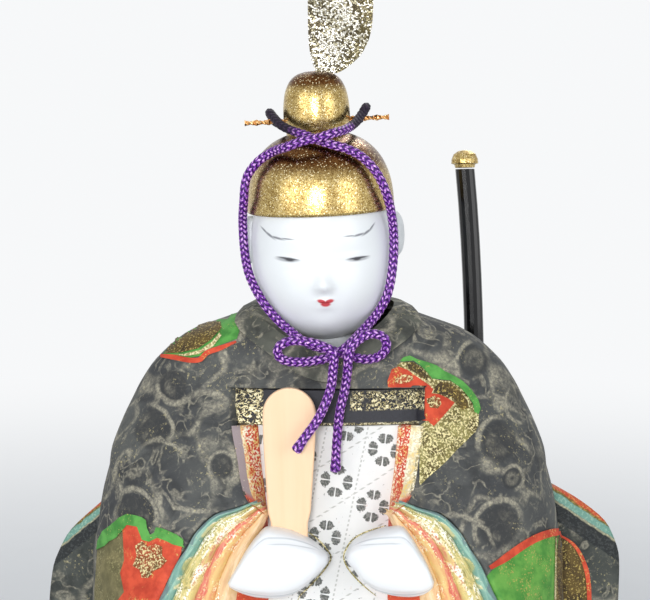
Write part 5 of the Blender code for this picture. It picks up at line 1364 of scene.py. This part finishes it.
band = band_finish()
repaint("chest_band", band)
painted("band_end", [(416.5, 387.6), (426.4, 386.8), (426.2, 420.5), (416.5, 423.5)], band, on_robe, 5, 2.0)
repaint("front_panel", panel_finish())
make_strip(-1, "right_side_strip", [(0, (206, 70, 40), 0.47), (0.50, (224, 150, 106), 0.44),
                                    (0.66, (158, 144, 146), 0.66)])
make_strip(1, "left_side_strip", [(0, (214, 120, 76), 0.46), (0.10, (206, 70, 40), 0.51),
                                  (0.48, (222, 206, 168), 0.45), (0.86, (168, 154, 110), 0.47)])

red_cloth = speckled("red_under_robe", (196, 52, 30), (226, 176, 90), (0.60, 0.66), (214, 70, 44))
for side in SIDES.values():
    repaint(side + "_under_robe", red_cloth)


# Paints across the sleeve's opening from its edge: start, colour, its other tone, how rare its glints are
OPENING_PAINTS = [
    (0.00, (98, 120, 122), (122, 150, 146), 0.66), (0.07, (104, 150, 138), (150, 190, 172), 0.64),
    (0.155, (150, 160, 108), (206, 206, 160), 0.47), (0.22, (150, 138, 66), (214, 204, 140), 0.45),
    (0.38, (206, 128, 104), (206, 190, 120), 0.45), (0.50, (212, 104, 82), (226, 138, 118), 0.53),
    (0.62, (222, 152, 104), (226, 188, 122), 0.50), (0.76, (222, 176, 128), (236, 200, 150), 0.64),
    (0.88, (214, 176, 126), (240, 208, 168), 0.70),
]


def layer_finish(layer):
    """Paint in long brush marks that run into one another, with gold and white glints."""
    s = Shade("layer_" + layer, 0.58)
    run, across = s.field("run"), s.field("across")
    along = s.point(across * 0.022, run * 0.22, 0.0)
    tone = s.noise(0.0013, 3.0, 0.6, 0.4, at=along)
    sway = s.noise(0.0040, 2.0, 0.6, 0.4, at=s.point(across * 0.012, run * 0.8, 0.5)) - 0.5
    place = across + sway * 0.26 + (tone - 0.5) * 0.10
    dust = s.noise(0.00040, 3.0, 0.68)
    cluster = s.noise(0.0026, 2.0, 0.6, at=s.point(across * 0.022, run * 0.5, 1.0))
    sheen = s.blend(cluster.step(0.46, 0.60), rgb(226, 204, 130), rgb(255, 252, 236))
    colour = rgb(*OPENING_PAINTS[0][1])
    for start, base, other, glints in OPENING_PAINTS:
        here = place.step(start - 0.012, start + 0.012) if start else 1.0
        paint = s.blend(tone.step(0.36, 0.62), rgb(*base), rgb(*other))
        fine = dust.step(glints, glints + 0.06) * cluster.step(0.34, 0.52)
        colour = s.blend(here, colour, s.blend(fine, paint, sheen))
    olive = s.noise(0.0030, 2.0, 0.6, at=s.point(run, across * 0.02, 2.0)).step(0.60, 0.68)
    colour = s.blend(olive * across.within(0.15, 0.60, 0.05) * 0.6, colour, rgb(122, 112, 50))
    return s.done(colour, tone * 0.6 + dust * 0.4, 0.00010)


for order, layer in enumerate(LAYERS):
    finish = layer_finish(layer)
    for side in (-1, 1):
        make_layer(side, layer, order, finish)

repaint("body_core", speckled("pressed_clay", (150, 132, 104), (170, 150, 120)))


# Hands. Section by section from the knuckles to the wrist: top and bottom in pixels, then half depth and the
# middle's reach in front of the origin

FIST_EDGES = {"right_hand": [
    (328, 557, 328, 558.5), (326.5, 553, 327, 562.5), (322, 548.8, 322.5, 568), (314, 542, 314.5, 576.5),
    (303, 535.5, 303.5, 586.5), (289, 530, 290, 594), (276, 527.5, 273, 597), (266, 527.5, 257, 596.5),
    (257, 536, 244, 593.5), (247, 549.5, 234.5, 589.5), (238, 565, 229.5, 586.5), (231, 577, 228, 583),
], "left_hand": [
    (346, 555.5, 346, 557), (347.6, 550, 347.8, 562), (351.8, 544, 353.5, 568.5), (360.5, 537.6, 362, 579),
    (371, 532.5, 374, 588), (382, 529.2, 388, 593.2), (392, 527, 401, 595.5), (402, 526.5, 413, 596),
    (410, 535, 423, 594), (418.5, 549, 429.5, 590.5), (426.5, 563, 433, 586.5), (432, 576, 434, 582),
]}
FIST_DEPTHS = [
    (0.0008, 0.0297), (0.0022, 0.0297), (0.0034, 0.0297), (0.0046, 0.0297), (0.0053, 0.0297), (0.0055, 0.0298),
    (0.0053, 0.0302), (0.0047, 0.0306), (0.0040, 0.0312), (0.0031, 0.0318), (0.0020, 0.0324), (0.0006, 0.0328),
]
FIST_SQUARENESS = 2.5


def make_fist(name, finish):
    table = [(i, *edges, *depth) for i, (edges, depth) in enumerate(zip(FIST_EDGES[name], FIST_DEPTHS))]
    turn_over = 1 if name == "left_hand" else -1
    sections = 90
    rows = []
    for i in range(sections + 1):
        key = (len(table) - 1) * i / sections
        top_x, top_y, low_x, low_y, deep, reach = read_table(table, key)
        top, low = on_plane(top_x, top_y, reach), on_plane(low_x, low_y, reach)
        middle, half = (top + low) / 2, (top - low) / 2
        crease = 0.050 * ease(key, 1.5, 4.0) * (1 - ease(key, 6.5, 9.5))
        row = []
        for turn in circle(64):
            up, out = cos(turn), sin(turn)
            size = (abs(up) ** FIST_SQUARENESS + abs(out) ** FIST_SQUARENESS) ** (-1 / FIST_SQUARENESS)
            for fold in (0.72, 0.40, -0.80):
                size -= crease * exp(-(((up - fold) / 0.05) ** 2)) * (out > 0)
            point = middle + half * (up * size) + Vector((0, -deep * out * size, 0))
            row.append((point, key, up if out > -0.1 else 0.0))
        rows.append(row[::turn_over])
    sheet(name + "_fist", rows, "doll", finish, (name,), closed=True, crease=180, words=("section", "fold"))


def fist_finish():
    """Shell paint with fine grey lines of painted shade where the fingers fold under and over one another."""
    s, colour, grain = shell_paint("fist_paint", (232, 236, 240), (240, 243, 245))
    section, fold = s.field("section"), s.field("fold")
    # Painted shade: grey lines in the creases of the fingers
    for place, lean, first, last in ((0.80, -0.030, 2.4, 8.2), (0.66, -0.045, 3.0, 6.6), (-0.86, 0.012, 3.4, 10.0)):
        line = 1 - (fold - place - (section - 5) * lean).size().step(0.006, 0.030)
        colour = s.blend(line * section.within(first, last, 0.7) * 0.42, colour, rgb(150, 158, 166))
    return s.done(colour, grain, SHELL_RELIEF)


fist_paint = fist_finish()
for name in FIST_EDGES:
    make_fist(name, fist_paint)

# Gold lines round the openings, in pixels
HAND_LINES = {
    "right_hand_line": (299, 527, 309, 532.5, 317, 538.5, 325, 547, 331, 557, 327, 566, 319, 576, 309, 587,
                        300, 596, 296, 605),
    "left_hand_line": (389, 524.5, 374, 529, 362, 533.5, 352, 540, 346, 549, 343.5, 556, 346, 565, 354, 576,
                       365, 587, 376, 596),
}
for name, numbers in HAND_LINES.items():
    painted(name, ribbon(pixels(WHOLE, numbers), 1.5, 0.4), PAINTS["olive_gold_paint"], panel_tree)


# Floor, light and background


def make_floor():
    """A plain pale floor; what the camera sees of it beyond the doll is as pale as the background."""
    s = Shade("pale_floor", 0.9)
    s.done(s.blend(s.noise(1 / 60, 2.0), rgb(226, 228, 230), rgb(223, 225, 227)))
    beyond = s.seen("Camera", "Glossy") * s.length(s.x, s.y).step(0.16, 0.60)
    glow = s.node("ShaderNodeEmission", PALE)
    s.finish(beyond, s.surface.outputs[0], glow.outputs[0], s.tree.nodes["Material Output"].inputs["Surface"])
    mesh = bpy.data.meshes.new("floor")
    mesh.from_pydata([(x * FLOOR_REACH, y * FLOOR_REACH, 0) for x, y in ((-1, -1), (1, -1), (1, 1), (-1, 1))], [],
                     [(0, 1, 2, 3)])
    mesh.materials.append(s.material)
    placed("floor", mesh)


def make_world():
    """Pale where it is seen, dimmer and cooler as a light."""
    world = bpy.data.worlds.new("pale")
    bpy.context.scene.world = world
    world.use_nodes = True
    world.node_tree.nodes.clear()
    n = Nodes(world.node_tree)
    shown, lit = (n.node("ShaderNodeBackground", look).outputs[0] for look in (PALE, COOL))
    n.finish(n.seen("Camera", "Glossy", "Transmission"), lit, shown, n.node("ShaderNodeOutputWorld").inputs[0])


PALE, COOL = {"Color": (0.93, 0.94, 0.95), "Strength": 1.0}, {"Color": (0.92, 0.96, 1.0), "Strength": 0.42}
FLOOR_REACH = 30.0
# Place, width and power of each round lamp
LAMPS = {
    "key": ((-0.12, -1.05, 0.29), 0.22, 5.6),
    "fill": ((0.90, -0.90, 0.36), 0.80, 3.6),
    "left_fill": ((-0.90, -0.90, 0.36), 0.80, 3.6),
    "rim": ((0.3, 1.0, 0.9), 0.60, 5.0),
}
make_floor()
make_world()
for name, (place, size, power) in LAMPS.items():
    light = bpy.data.lights.new(name, "AREA")
    light.shape, light.size, light.energy = "DISK", size, power
    lamp = placed(name, light)
    lamp.location = place
    lamp.rotation_euler = (Vector(place) - TARGET).to_track_quat("Z", "Y").to_euler()

bpy.context.scene.view_settings.view_transform = "Standard"
